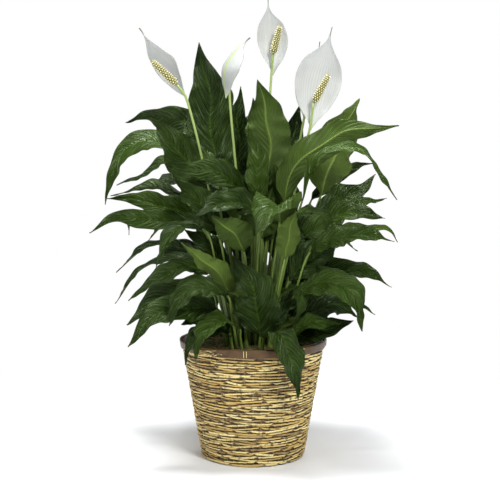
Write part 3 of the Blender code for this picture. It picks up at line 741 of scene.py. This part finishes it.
def roundRings(places, along, radii, around):
    reference = np.array([0.2, 1.0, 0.1])
    side = unit(np.cross(along, reference))
    normal = np.cross(side, along)
    angle = np.arange(around) * turnAll / around
    ring = side[:, None, :] * np.cos(angle)[None, :, None] + normal[:, None, :] * np.sin(angle)[None, :, None]
    return places[:, None, :] + ring * np.asarray(radii)[..., None]


def closeEnds(faces, rows, around):
    faces = [tuple(f) for f in faces[:, ::-1]]
    faces.append(tuple(range(around)))
    faces.append(tuple(rows * around - 1 - i for i in range(around)))
    return faces


def buildStalk(name, bends):
    points = np.array(stemPoints([c * cm for c in bends[0]]) + [tuple(c * cm for c in p) for p in bends])
    length = curveMarks(points)[-1]
    rows, around = 44, 14
    distance = np.linspace(0, length, rows)
    along = curveDirections(points, distance)
    along[0] = (0, 0, 1)
    swell = 1 + 0.7 * (1 - smoothStep(0, 0.25, distance / length))
    radii = np.repeat((flowerForm["stalkRadius"] * swell)[:, None], around, axis=1)
    rings = roundRings(curvePlaces(points, distance), along, radii, around)
    uv = uvGrid(np.linspace(0, 1, around)[None, :], (distance / length)[:, None])
    faces = closeEnds(gridFaces(rows, around), rows, around)
    piece = makePiece(name + "_stalk", rings.reshape(-1, 3), faces, [stalkGreen], uv=uv.reshape(-1, 2))
    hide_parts(name + "_stalk_spadix")
    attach(piece, "root")
    return points[-1], along[-1]


def buildSpadix(name, foot, tip, seed):
    dice = random.Random(seed)
    form = flowerForm
    rows, around = 96, 54
    t = np.linspace(0, 1, rows)
    along = np.repeat(unit(tip - foot)[None, :], rows, axis=0)
    places = foot + (tip - foot) * t[:, None]
    profile = (smoothStep(-0.04, 0.15, t) * (1 - 0.36 * t)
               * np.sqrt(np.clip(1 - ((t - 0.84) / 0.16).clip(0) ** 2, 0, 1)))
    angle = (np.arange(around) * turnAll / around)[None, :]
    acrossWave = form["floretsAround"] / 2 * angle
    alongWave = math.pi / 2 * form["floretRows"] * t[:, None]
    raised = np.abs(np.cos(acrossWave + alongWave) * np.cos(acrossWave - alongWave)) ** 1.1
    radii = form["spadixRadius"] * profile[:, None] * (0.76 + 0.26 * raised) + 0.0002
    parts = []
    rings = roundRings(places, along, radii, around)
    uv = uvGrid(np.linspace(0, 1, around)[None, :], t[:, None])
    parts.append((rings.reshape(-1, 3), closeEnds(gridFaces(rows, around), rows, around), uv.reshape(-1, 2),
                  {"raised": raised.ravel()}))
    # a small point stands on each floret
    reference = unit(np.cross(along[0], np.array([0.2, 1.0, 0.1])))
    other = np.cross(reference, along[0])
    for k in range(1, form["floretRows"]):
        for i in range(k % 2, 2 * form["floretsAround"], 2):
            share = k / form["floretRows"]
            at = i * turnAll / (2 * form["floretsAround"])
            here = float(np.interp(share, t, profile)) * form["spadixRadius"]
            out = reference * math.cos(at) + other * math.sin(at)
            root = foot + (tip - foot) * share + out * here * 0.98
            lean = unit(out + np.array([dice.uniform(-0.35, 0.35) for _ in range(3)]))
            tall = dice.uniform(0.0016, 0.0028)
            flat = unit(np.cross(lean, along[0]))
            deep = np.cross(flat, lean)
            base = [root + (flat * math.cos(a) + deep * math.sin(a)) * 0.00150 for a in (0, 1.57, 3.14, 4.71)]
            points = np.array(base + [root + lean * tall])
            faces = [(0, 1, 4), (1, 2, 4), (2, 3, 4), (3, 0, 4), (3, 2, 1, 0)]
            parts.append((points, faces, np.full((5, 2), 0.5), {"raised": [0.85, 0.85, 0.85, 0.85, 1.0]}))
    points, faces, uv, values = joinParts(parts)
    piece = makePiece(name + "_spadix", points, faces, [spadixCream], uv=uv, values=values)
    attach(piece, "root")


def buildSpathe(name, width, hollow, centreLine, seed):
    dice = random.Random(seed)
    form = flowerForm
    points = np.array([tuple(c * cm for c in p) for p in centreLine])
    length = curveMarks(points)[-1]
    rows, columns = form["spatheRings"], form["spatheColumns"]
    t = np.linspace(0, 1, rows)
    u = t - 0.04 * np.sin(turnAll * t)
    along = curveDirections(points, length * u)
    places = curvePlaces(points, length * u)
    hollow = unit(np.array(hollow, dtype=float))
    normal = unit(hollow - along * (along @ hollow)[:, None])
    side = np.cross(along, normal)
    v = np.linspace(-1, 1, columns)
    belly = np.sin(math.pi * u ** 0.92) ** 1.12 * (1 - 0.82 * smoothStep(0.64, 0.94, u)) * 1.02
    half = np.maximum(0.5 * width * cm * belly, 0.0007)[:, None]
    alongGrid, acrossGrid = u[:, None], v[None, :]
    cup = form["cup"] + 0.3 * (1 - smoothStep(0.0, 0.22, alongGrid)) + 0.5 * smoothStep(0.75, 1.0, alongGrid)
    x = (half * np.sin(acrossGrid * form["wrap"]) / math.sin(form["wrap"])
         * (1 - 0.25 * (1 - smoothStep(0.0, 0.22, alongGrid))))
    lift = half * (cup * acrossGrid ** 2 - 0.10 * np.abs(acrossGrid) ** 7)
    phase = [dice.uniform(0, 1) for _ in range(2)]
    ripple = np.where(acrossGrid < 0, np.sin(turnAll * (2.1 * alongGrid + phase[0])),
            np.sin(turnAll * (2.6 * alongGrid + phase[1])))
    lift = lift + 0.05 * half * np.abs(acrossGrid) ** 2.5 * ripple
    lift = lift + form["ribHeight"] * np.cos(turnAll * form["ribs"] * acrossGrid) * np.minimum(1, half / 0.01)
    thick = 0.0004 * (1 - np.abs(acrossGrid) ** 8)
    keel = 0.0012 * np.exp(-((half * acrossGrid) / 0.0016) ** 2)
    inner = sheetPoints(places, side, normal, x, lift + thick)
    outer = sheetPoints(places, side, normal, x, lift - thick - keel)
    rings = np.concatenate([inner, outer[:, -2:0:-1, :]], axis=1)
    around = rings.shape[1]
    across = 0.5 + 0.5 * np.concatenate([v, v[-2:0:-1]])
    uv = uvGrid(across[None, :], u[:, None])
    back = np.concatenate([np.zeros(columns), np.ones(columns - 2)])
    piece = makePiece(name + "_hood", rings.reshape(-1, 3), closeEnds(gridFaces(rows, around), rows, around),
                      [spatheWhite], uv=uv.reshape(-1, 2), values={"back": np.tile(back, rows)})
    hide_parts(name + "_spathe")
    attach(piece, "root")


for number, (name, bends, tip, width, hollow, centreLine) in enumerate(flowerTable):
    foot, aim = buildStalk(name, bends)
    buildSpadix(name, foot, np.array(tip) * cm, 40 + number)
    buildSpathe(name, width, hollow, centreLine, 60 + number)
print("flowers made:", len(flowerTable))

# ---------- basket ----------

basketForm = {"baseRadius": 0.0945, "slope": 0.1726, "rows": 41, "pitch": 0.0049, "firstRow": 0.0034,
              "stakes": 50, "samples": 8, "around": 8, "halfHeight": 0.00194, "halfDepth": 0.0021,
              "dive": 0.0027, "slant": 0.0030, "runs": (12, 46), "underRows": 17, "wallTop": 0.213}


def wallRadius(height):
    return basketForm["baseRadius"] + basketForm["slope"] * height


def makeStraw():
    look = {"brown": (0.170, 0.072, 0.018), "golden": (0.60, 0.37, 0.080), "pale": (0.94, 0.78, 0.35),
            "stainAndShade": (0.012, 0.005, 0.002)}
    material, tree, shader = newMaterial("strawStrand")
    place = surfaceMap(tree)[0]
    tone = attributeValue(tree, "tone")
    base = mixColour(tree, remap(tree, tone, 0.0, 0.5, 0.0, 1.0), look["brown"], look["golden"])
    base = mixColour(tree, remap(tree, tone, 0.5, 1.0, 0.0, 1.0), base, look["pale"])
    streaks = fibreValue(tree, place, 7.0, 60.0)
    base = mixColour(tree, times(tree, streaks, 0.45), base, look["pale"])
    patches = patchValue(tree, 130.0, 4.0)
    base = mixColour(tree, times(tree, remap(tree, patches, 0.62, 1.0, 0.0, 1.0), 0.8), base, look["stainAndShade"])
    # painted shade: strands darken where they turn behind the wall or dive behind a stake
    base = mixColour(tree, times(tree, attributeValue(tree, "creviceShade"), 0.9), base, look["stainAndShade"])
    tree.links.new(base, shader.inputs["Base Color"])
    tree.links.new(remap(tree, streaks, 0.0, 1.0, 0.62, 0.42), shader.inputs["Roughness"])
    height = mathNode(tree, "ADD", streaks, times(tree, patches, 0.4))
    tree.links.new(bumpNormal(tree, height, 0.6, 0.0007), shader.inputs["Normal"])
    return material


def makeBandWood():
    look = {"dark": (0.030, 0.014, 0.004), "mid": (0.088, 0.042, 0.012), "light": (0.185, 0.104, 0.034)}
    material, tree, shader = newMaterial("bandWood")
    place = surfaceMap(tree)[0]
    grain = fibreValue(tree, place, 26.0, 9.0)
    patches = patchValue(tree, 55.0, 4.0)
    base = mixColour(tree, grain, look["dark"], look["mid"])
    base = mixColour(tree, times(tree, patches, 0.45), base, look["light"])
    tree.links.new(base, shader.inputs["Base Color"])
    tree.links.new(remap(tree, grain, 0.0, 1.0, 0.30, 0.48), shader.inputs["Roughness"])
    tree.links.new(bumpNormal(tree, grain, 0.45, 0.0005), shader.inputs["Normal"])
    shader.inputs["Specular IOR Level"].default_value = 0.35
    return material


strawStrand = makeStraw()
bandWood = makeBandWood()


def weaveRow(radius, height, outRadial, outUp, dice, scale=1.0):
    # one strand round the pot: it passes outside a few stakes, then dives behind one
    form = basketForm
    stakes, samples = form["stakes"], form["samples"]
    count = stakes * samples
    dive = np.zeros(count)
    slant = np.zeros(count)
    tone = np.zeros(count)
    size = np.ones(count)
    start = dice.randint(0, count - 1)
    done = 0
    while done < count:
        length = min(dice.randint(*form["runs"]), count - done)
        if count - done - length < form["runs"][0]:
            length = count - done
        first = start + done
        index = (first + np.arange(length)) % count
        share = (np.arange(length) + 0.5) / length
        lean = dice.uniform(-1, 1) * form["slant"]
        slant[index] = lean * (2 * share - 1)
        tone[index] = min(1, max(0, dice.gauss(0.60, 0.33)))
        size[index] = dice.uniform(0.74, 1.18)
        edge = np.minimum(share, 1 - share) * length / samples
        dive[index] = 1 - smoothStep(0.0, 0.42, edge)
        done += length
    for _ in range(2):
        slant = (np.roll(slant, 1) + slant + np.roll(slant, -1)) / 3
        size = (np.roll(size, 1) + size + np.roll(size, -1)) / 3
    angle = np.arange(count) * turnAll / count
    drift = 0.0007 * np.sin(dice.randint(2, 5) * angle + dice.uniform(0, 6)) * scale
    out = -form["dive"] * dive + 0.0004 * np.sin(stakes * angle)
    up = slant + drift
    halfHeight = form["halfHeight"] * size * (1 - 0.40 * dive) * scale
    halfDepth = form["halfDepth"] * size * scale
    turn = np.arange(form["around"]) * turnAll / form["around"] + math.pi
    # across is the direction along the wall, out is away from it
    ringOut = out[:, None] + halfDepth[:, None] * np.cos(turn)[None, :]
    ringUp = up[:, None] + halfHeight[:, None] * np.sin(turn)[None, :]
    rim = radius + ringOut * outRadial - ringUp * outUp
    tall = height + ringOut * outUp + ringUp * outRadial
    points = np.stack([rim * np.cos(angle)[:, None], rim * np.sin(angle)[:, None], tall], axis=-1)
    faces = gridFaces(count, form["around"], closeRows=True)
    mapAcross = 0.5 + 0.5 * np.cos(turn)
    uv = uvGrid(mapAcross[None, :] + dice.uniform(0, 9), (angle * radius)[:, None])
    # painted shade on the strand's back and where it dives behind a stake
    shadedShare = 1 - smoothStep(0.56, 0.97, mapAcross)
    shadedShare = np.maximum(shadedShare[None, :], 0.6 * dive[:, None] ** 2)
    values = {"tone": np.repeat(tone, form["around"]), "creviceShade": shadedShare.ravel()}
    return points.reshape(-1, 3), faces, uv.reshape(-1, 2), values


def buildStakes():
    form = basketForm
    parts = []
    heights = np.linspace(0.004, form["wallTop"] - 0.004, 30)
    for i in range(form["stakes"]):
        at = (i + 0.5) * turnAll / form["stakes"]
        rim = wallRadius(heights) - 0.0030
        places = np.stack([rim * math.cos(at), rim * math.sin(at), heights], axis=-1)
        along = np.repeat(unit(places[-1] - places[0])[None, :], len(heights), axis=0)
        rings = roundRings(places, along, np.full((len(heights), 7), 0.0013), 7)
        uv = uvGrid(np.linspace(0, 1, 7)[None, :], heights[:, None])
        total = len(heights) * 7
        # the stakes are darkened halfway with painted shade, as they stand behind the strands
        parts.append((rings.reshape(-1, 3), closeEnds(gridFaces(len(heights), 7), len(heights), 7),
                uv.reshape(-1, 2),
                      {"tone": np.full(total, 0.1), "creviceShade": np.full(total, 0.5)}))
    return parts


def revolved(profile, steps, wobble=None):
    # a closed profile of (radius, height) turned about the upright axis
    profile = np.array(profile)
    angle = np.arange(steps) * turnAll / steps
    rim = np.repeat(profile[None, :, 0], steps, axis=0)
    tall = np.repeat(profile[None, :, 1], steps, axis=0)
    if wobble is not None:
        rim, tall = wobble(angle[:, None], rim, tall)
    points = np.stack([rim * np.cos(angle)[:, None], rim * np.sin(angle)[:, None], tall], axis=-1)
    edges = np.linalg.norm(np.diff(profile, axis=0, append=profile[:1]), axis=1)
    across = np.concatenate([[0], np.cumsum(edges)[:-1]]) / max(edges.sum(), 1e-6)
    uv = uvGrid(across[None, :], (angle * profile[:, 0].mean())[:, None])
    return points.reshape(-1, 3), gridFaces(steps, len(profile), closeRows=True), uv.reshape(-1, 2)


def buildBasket():
    form = basketForm
    dice = random.Random(11)
    tilt = math.hypot(1, form["slope"])
    radial, up = 1 / tilt, -form["slope"] / tilt
    wall = []
    for row in range(form["rows"]):
        height = form["firstRow"] + form["pitch"] * row
        wall.append(weaveRow(wallRadius(height) - 0.0014, height, radial, up, dice,
                1.18 if row == 0 else 1.0))
    half = form["rows"] // 2
    groups = {"weaveLower": wall[:half], "weaveUpper": wall[half:]}
    under = []
    for row in range(form["underRows"]):
        under.append(weaveRow(0.0030 + row * 0.0052, 0.0024, 0.0, -1.0, dice, 0.86))
    groups["weaveUnder"] = under
    groups["stakes"] = buildStakes()
    for title, parts in groups.items():
        points, faces, uv, values = joinParts(parts)
        points[:, 2] = np.maximum(points[:, 2], 0.0)
        piece = makePiece(title, points, faces, [strawStrand], uv=uv, values=values)
        if title == "weaveLower":
            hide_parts("basket")
        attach(piece, "root")
    # a dark shell behind the strands closes every gap; its dark colour is painted shade seen between the
    # strands
    heights = np.linspace(0.005, form["wallTop"], 30)
    outer = [(wallRadius(h) - 0.0034, h) for h in heights]
    inner = [(wallRadius(h) - 0.0048, h) for h in heights[::-1]]
    points, faces, uv = revolved(outer + inner, 120)
    flat = np.full(len(points), 0.05)
    shell = makePiece("weaveShadeBacking", points, faces, [strawStrand], uv=uv,
            values={"tone": flat, "creviceShade": flat + 0.7})
    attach(shell, "root")
    print("basket woven:", form["rows"], "rows and", form["underRows"], "below")


buildBasket()

bandForm = {"low": 0.2010, "high": 0.2150, "outerTop": 0.1350, "lean": 0.0020, "thick": 0.0030,
            "breakFrom": -134.0, "breakTo": -119.0, "staples": [-96, -50, -4, 42, 88, 150], "stapleGap": 2.0,
            "tall": 0.014, "splinters": 22}


def hoopProfile(radiusLow, radiusHigh, low, high, thick, rounding=0.0009):
    # outer face first, then the inner one, with rounded edges
    lean = (radiusHigh - radiusLow) / (high - low)
    profile = []
    for share in (0.0, 0.35, 0.7, 1.0):
        height = low + rounding + (high - low - 2 * rounding) * share
        profile.append((radiusLow + lean * (height - low), height))
    profile.append((radiusHigh - rounding * 0.35, high - rounding * 0.3))
    profile.append((radiusHigh - rounding, high))
    profile.append((radiusHigh - thick + rounding, high))
    profile.append((radiusHigh - thick, high - rounding))
    profile.append((radiusLow - thick, low + rounding))
    profile.append((radiusLow - thick + rounding, low))
    profile.append((radiusLow - rounding, low))
    profile.append((radiusLow - rounding * 0.3, low + rounding * 0.3))
    return profile


def arcHoop(profile, fromDegrees, toDegrees, steps):
    profile = np.array(profile)
    angle = np.radians(np.linspace(fromDegrees, toDegrees, steps))
    wave = 0.00025 * np.sin(7 * angle) + 0.00015 * np.sin(17 * angle + 1)
    rim = profile[None, :, 0] + wave[:, None]
    tall = profile[None, :, 1] + 0.0003 * np.sin(3 * angle + 2)[:, None]
    points = np.stack([rim * np.cos(angle)[:, None], rim * np.sin(angle)[:, None], tall], axis=-1)
    faces = closeEnds(gridFaces(steps, len(profile)), steps, len(profile))
    uv = uvGrid((profile[:, 1] * 70)[None, :], (angle * 0.134)[:, None])
    return points.reshape(-1, 3), faces, uv.reshape(-1, 2), {}


def stapleLoop(angle, rim, low, high):
    # a thin wire that comes out, runs up the hoop and goes back in
    out = np.array([math.cos(angle), math.sin(angle), 0.0])
    path = [out * (rim - 0.0012) + (0, 0, low + 0.0002), out * (rim + 0.0004) + (0, 0, low),
            out * (rim + 0.0007) + (0, 0, low + 0.0010), out * (rim + 0.0013) + (0, 0, (low + high) / 2),
            out * (rim + 0.0018) + (0, 0, high - 0.0010), out * (rim + 0.0016) + (0, 0, high),
            out * (rim - 0.0004) + (0, 0, high - 0.0002)]
    path = np.array([np.asarray(p, dtype=float) for p in path])
    rows, around = 24, 8
    distance = np.linspace(0, curveMarks(path)[-1], rows)
    along = curveDirections(path, distance)
    rings = roundRings(curvePlaces(path, distance), along, np.full((rows, around), 0.00055), around)
    uv = uvGrid(np.linspace(0, 1, around)[None, :], distance[:, None])
    values = {"tone": np.full(rows * around, 0.95), "creviceShade": np.zeros(rows * around)}
    return rings.reshape(-1, 3), closeEnds(gridFaces(rows, around), rows, around), uv.reshape(-1, 2), values


def buildRim():
    form = bandForm
    radiusLow, radiusHigh = form["outerTop"] - form["lean"], form["outerTop"]
    profile = hoopProfile(radiusLow, radiusHigh, form["low"], form["high"], form["thick"])
    backing = hoopProfile(radiusLow - 0.0018, radiusHigh - 0.0018, form["low"] + 0.0004,
            form["high"] - 0.0006, 0.0011, 0.0003)
    outer = joinParts([arcHoop(profile, form["breakTo"], form["breakFrom"] + 360, 260),
            arcHoop(backing, -180, 180, 200)])
    piece = makePiece("rimHoopOuter", outer[0], outer[1], [bandWood], uv=outer[2])
    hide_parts("rim_band_outer")
    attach(piece, "root")

    wallLow = wallRadius(form["low"]) - 0.005 - 0.0003
    profile = hoopProfile(wallLow, wallLow + basketForm["slope"] * form["tall"], form["low"], form["high"],
            form["thick"])
    points, faces, uv, _ = arcHoop(profile, 20, 376, 260)
    piece = makePiece("rimHoopInner", points, faces, [bandWood], uv=uv)
    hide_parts("rim_band_inner")
    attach(piece, "root")

    # staples in pairs, and the splinters where the hoop's end has broken away
    dice = random.Random(5)
    parts = []
    for at in form["staples"]:
        for side in (-1, 1):
            parts.append(stapleLoop(math.radians(at + side * form["stapleGap"] / 2), radiusLow,
                    form["low"] + 0.0016,
                                    form["high"] - 0.0014))
    rows, around = 12, 7
    for _ in range(form["splinters"]):
        at = math.radians(dice.uniform(form["breakFrom"] - 3, form["breakTo"] + 1))
        lean = math.radians(dice.uniform(2, 9)) * dice.choice([-1, 1, 1])
        low = form["low"] + dice.uniform(-0.001, 0.010)
        rise = dice.uniform(-0.005, 0.005)
        rim = radiusLow + dice.uniform(-0.0010, 0.0022)
        path = np.array([[rim * math.cos(at + lean * k), rim * math.sin(at + lean * k), low + rise * k]
                         for k in (0, 0.35, 0.7, 1.0)])
        distance = np.linspace(0, curveMarks(path)[-1], rows)
        taper = (0.0009 * np.sin(math.pi * np.linspace(0.06, 0.97, rows)) ** 0.5)[:, None]
        rings = roundRings(curvePlaces(path, distance), curveDirections(path, distance),
                np.repeat(taper, around, axis=1), around)
        uv = uvGrid(np.linspace(0, 1, around)[None, :], distance[:, None])
        faces = closeEnds(gridFaces(rows, around), rows, around)
        tone = dice.choice([0.1, 0.3, 0.7, 1.0])
        values = {"tone": np.full(rows * around, tone), "creviceShade": np.zeros(rows * around)}
        parts.append((rings.reshape(-1, 3), faces, uv.reshape(-1, 2), values))
    points, faces, uv, values = joinParts(parts)
    piece = makePiece("rimStaplesAndSplinters", points, faces, [strawStrand], uv=uv, values=values)
    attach(piece, "root")
    print("rim made")


buildRim()

# ---------- liner, soil and moss ----------

linerForm = {"lowRadius": 0.0842, "low": 0.0063, "shoulder": 0.2010, "topRadius": 0.1206, "top": 0.2085,
             "wall": 0.0015, "ripple": 0.0011}


def makeLinerBlack():
    look = {"deep": (0.006, 0.006, 0.007), "dust": (0.030, 0.029, 0.026)}
    material, tree, shader = newMaterial("linerBlack")
    patches = patchValue(tree, 45.0, 4.0)
    creases = patchValue(tree, 14.0, 2.0)
    tree.links.new(mixColour(tree, patches, look["deep"], look["dust"]), shader.inputs["Base Color"])
    tree.links.new(remap(tree, patches, 0.0, 1.0, 0.10, 0.32), shader.inputs["Roughness"])
    tree.links.new(bumpNormal(tree, creases, 0.6, 0.004), shader.inputs["Normal"])
    return material


def makeMoss():
    look = {"earth": (0.048, 0.038, 0.013), "moss": (0.220, 0.250, 0.055), "bark": (0.300, 0.150, 0.055),
            "straw": (0.50, 0.36, 0.15)}
    material, tree, shader = newMaterial("mossMix")
    tone = attributeValue(tree, "tone")
    patches = patchValue(tree, 90.0, 5.0)
    fine = patchValue(tree, 520.0, 3.0)
    base = mixColour(tree, patches, look["earth"], look["moss"])
    base = mixColour(tree, remap(tree, tone, 0.30, 0.65, 0.0, 1.0), base, look["bark"])
    base = mixColour(tree, remap(tree, tone, 0.70, 1.0, 0.0, 1.0), base, look["straw"])
    base = mixColour(tree, times(tree, fine, 0.4), base, look["earth"])
    tree.links.new(base, shader.inputs["Base Color"])
    tree.links.new(remap(tree, fine, 0.0, 1.0, 0.98, 0.78), shader.inputs["Roughness"])
    tree.links.new(bumpNormal(tree, mathNode(tree, "ADD", fine, patches), 0.9, 0.002),
            shader.inputs["Normal"])
    return material


linerBlack = makeLinerBlack()
mossMix = makeMoss()


def buildLiner():
    form = linerForm
    outer = [(form["lowRadius"], form["low"]), (form["lowRadius"] + 0.004, form["low"] + 0.002)]
    for share in np.linspace(0.08, 1, 12):
        height = form["low"] + (form["shoulder"] - form["low"]) * share
        outer.append((form["lowRadius"] + (form["topRadius"] - form["lowRadius"]) * share, height))
    outer.append((form["topRadius"] + 0.0004, form["top"] - 0.0012))
    outer.append((form["topRadius"] - 0.0002, form["top"]))
    inner = [(form["topRadius"] - form["wall"] + 0.0002, form["top"]),
            (form["topRadius"] - form["wall"], form["top"] - 0.002)]
    inner += [(radius - form["wall"], height + 0.0005) for radius, height in outer[-3:1:-1]]
    inner.append((0.02, form["low"] + form["wall"]))
    outer.insert(0, (0.02, form["low"]))

    def wobble(angle, rim, tall):
        lift = smoothStep(form["shoulder"] - 0.004, form["top"], tall)
        ripple = np.sin(5 * angle + 1) + 0.7 * np.sin(11 * angle) + 0.5 * np.sin(23 * angle + 2)
        rim = rim + lift * form["ripple"] * 0.6 * ripple
        tall = tall + lift * (0.0022 * np.sin(3 * angle + 0.5) + 0.0013 * np.sin(8 * angle))
        return rim, tall

    points, faces, uv = revolved(outer + inner, 240, wobble)
    piece = makePiece("linerFilm", points, faces, [linerBlack], uv=uv)
    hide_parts("liner_pot")
    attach(piece, "root")


bedForm = {"level": 0.1992, "mound": 0.006, "spread": 0.0139, "lump": 0.0032, "grain": 0.0014,
        "reach": 0.1180,
           "bottom": 0.1918, "rows": 34, "steps": 150, "chips": 620, "fibres": 900}


def bedHeight(x, y):
    here = Vector((x * 55, y * 55, 0.4))
    small = Vector((x * 210, y * 210, 3.1))
    mound = bedForm["mound"] * (1 - (x * x + y * y) / bedForm["spread"])
    return (bedForm["level"] + mound + bedForm["lump"] * noise.noise(here)
            + bedForm["grain"] * noise.noise(small))


def chipPart(dice, x, y, size, tone):
    # a rough bark chip: two uneven rings of five between two points
    tilt = [dice.uniform(-0.7, 0.7) for _ in range(2)]
    spin = dice.uniform(0, turnAll)
    points = []
    for level, reach in ((-0.9, 0.15), (-0.35, 1.0), (0.35, 0.9), (0.9, 0.15)):
        for k in range(5):
            a = spin + k * turnAll / 5 + dice.uniform(-0.3, 0.3)
            r = size * reach * dice.uniform(0.7, 1.2)
            px, py, pz = r * math.cos(a) * 1.5, r * math.sin(a) * 0.8, size * level * 0.35
            points.append((x + px, y + py, bedHeight(x, y) + 0.001 + pz + px * tilt[0] + py * tilt[1]))
    faces = closeEnds(gridFaces(4, 5), 4, 5)
    return np.array(points), faces, np.zeros((20, 2)), {"tone": np.full(20, tone)}


def fibrePart(dice, x, y, tone):
    aim = dice.uniform(0, turnAll)
    reach = dice.uniform(0.004, 0.012)
    rise = dice.uniform(0.001, 0.005)
    path = []
    for k in (0, 0.33, 0.66, 1.0):
        bend = aim + 1.3 * k * dice.uniform(-1, 1)
        px, py = x + reach * k * math.cos(bend), y + reach * k * math.sin(bend)
        path.append((px, py, bedHeight(px, py) + 0.0006 + rise * math.sin(math.pi * k)))
    path = np.array(path)
    distance = np.linspace(0, curveMarks(path)[-1], 7)
    taper = (0.0004 * (1 - 0.7 * np.linspace(0, 1, 7)))[:, None]
    rings = roundRings(curvePlaces(path, distance), curveDirections(path, distance),
            np.repeat(taper, 4, axis=1), 4)
    return rings.reshape(-1, 3), closeEnds(gridFaces(7, 4), 7,
            4), np.zeros((28, 2)), {"tone": np.full(28, tone)}


def buildBed():
    dice = random.Random(23)
    rows, steps, reach = bedForm["rows"], bedForm["steps"], bedForm["reach"]
    angle = np.arange(steps) * turnAll / steps
    points, uv = [], []
    for i in range(rows):
        r = reach * ((i + 0.6) / (rows - 0.4)) ** 0.8
        for a in angle:
            x, y = r * math.cos(a), r * math.sin(a)
            points.append((x, y, bedHeight(x, y) - 0.004 * smoothStep(0.85, 1.0, i / (rows - 1))))
            uv.append((x * 10, y * 10))
    rim = [(reach * math.cos(a), reach * math.sin(a), bedForm["bottom"]) for a in angle]
    points = np.array(points + rim)
    uv += [(p[0] * 10, p[1] * 10) for p in rim]
    faces = closeEnds(gridFaces(rows + 1, steps), rows + 1, steps)
    parts = [(points, faces, np.array(uv), {"tone": np.zeros(len(points))})]
    for _ in range(bedForm["chips"]):
        r, a = reach * 0.97 * math.sqrt(dice.random()), dice.uniform(0, turnAll)
        right = math.cos(a) > 0.3
        tones = [0.5, 0.62, 0.62, 1.0] if right and dice.random() < 0.6 else [0.0, 0.1, 0.35, 0.5]
        tone = dice.choice(tones)
        parts.append(chipPart(dice, r * math.cos(a), r * math.sin(a), dice.uniform(0.0012, 0.0034), tone))
    for _ in range(bedForm["fibres"]):
        r, a = reach * 0.96 * math.sqrt(dice.random()), dice.uniform(0, turnAll)
        parts.append(fibrePart(dice, r * math.cos(a), r * math.sin(a),
                dice.choice([0.0, 0.0, 0.2, 0.4, 0.6, 0.9])))
    points, faces, uv, values = joinParts(parts)
    piece = makePiece("mossBed", points, faces, [mossMix], uv=uv, values=values, smooth=False)
    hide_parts("moss_layer")
    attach(piece, "root")
    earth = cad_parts["soil"]
    earth.data.materials.clear()
    earth.data.materials.append(mossMix)
    print("liner, soil and moss made")


buildLiner()
buildBed()

# ---------- studio ----------

studio = {"world": (1.0, 1.0, 1.0), "worldStrength": 0.27, "backStrength": 1.0,
        "floor": (0.915, 0.930, 0.950),
          "fadeFrom": 0.42, "fadeTo": 0.95}


def areaLight(name, place, target, size, power, colour=(1, 1, 1)):
    lamp = bpy.data.lights.new(name, "AREA")
    lamp.shape = "RECTANGLE"
    lamp.size, lamp.size_y = size
    lamp.energy = power
    lamp.color = colour
    thing = bpy.data.objects.new(name, lamp)
    thing.location = place
    thing.rotation_euler = (Vector(target) - Vector(place)).to_track_quat("-Z", "Y").to_euler()
    bpy.context.scene.collection.objects.link(thing)
    return thing


def buildStudio():
    floor = makePiece("studioFloor", [(-9, -9, 0), (9, -9, 0), (9, 9, 0), (-9, 9, 0)], [(0, 1, 2, 3)], [])
    floor.location = (0, 0, -0.0002)
    material, tree, shader = newMaterial("floorPale")
    shader.inputs["Base Color"].default_value = (*studio["floor"], 1.0)
    shader.inputs["Roughness"].default_value = 0.85
    # further out the floor turns into the plain white sweep behind
    glow = addNode(tree, "ShaderNodeEmission", {"Color": (1, 1, 1, 1), "Strength": studio["backStrength"]})
    away = addNode(tree, "ShaderNodeVectorMath", {0: objectPlace(tree)}, operation="LENGTH").outputs["Value"]
    seen = addNode(tree, "ShaderNodeLightPath").outputs["Is Camera Ray"]
    fade = times(tree, remap(tree, away, studio["fadeFrom"], studio["fadeTo"], 0.0, 1.0), seen)
    mixed = addNode(tree, "ShaderNodeMixShader", {0: fade, 1: shader.outputs[0], 2: glow.outputs[0]})
    tree.links.new(mixed.outputs[0], tree.nodes["Material Output"].inputs["Surface"])
    floor.data.materials.append(material)
    world = bpy.data.worlds.new("studioWorld")
    world.use_nodes = True
    bpy.context.scene.world = world
    back = world.node_tree.nodes["Background"]
    back.inputs["Color"].default_value = (*studio["world"], 1.0)
    seen = addNode(world.node_tree, "ShaderNodeLightPath").outputs["Is Camera Ray"]
    level = remap(world.node_tree, seen, 0.0, 1.0, studio["worldStrength"], studio["backStrength"])
    world.node_tree.links.new(level, back.inputs["Strength"])
    areaLight("keyLight", (0.9, -1.8, 2.0), (0, 0, 0.40), (0.6, 0.6), 44)
    areaLight("topLight", (-0.25, 0.0, 2.4), (0, 0, 0.4), (0.7, 0.7), 58)
    areaLight("fillLight", (-1.9, -1.5, 1.2), (0, 0, 0.35), (1.2, 1.6), 10)
    areaLight("backLight", (0.6, 2.2, 1.8), (0, 0, 0.45), (1.4, 1.2), 12)
    camera = bpy.data.cameras.new("studioCamera")
    camera.lens = 73.6
    camera.sensor_width = 36
    viewer = bpy.data.objects.new("studioCamera", camera)
    viewer.location = (-0.0055, -1.86, 0.53)
    viewer.rotation_euler = (math.radians(85.3), 0, 0)
    bpy.context.scene.collection.objects.link(viewer)
    bpy.context.scene.camera = viewer
    bpy.context.scene.view_settings.view_transform = "Standard"
    bpy.context.scene.view_settings.look = "None"


buildStudio()
print("studio set")
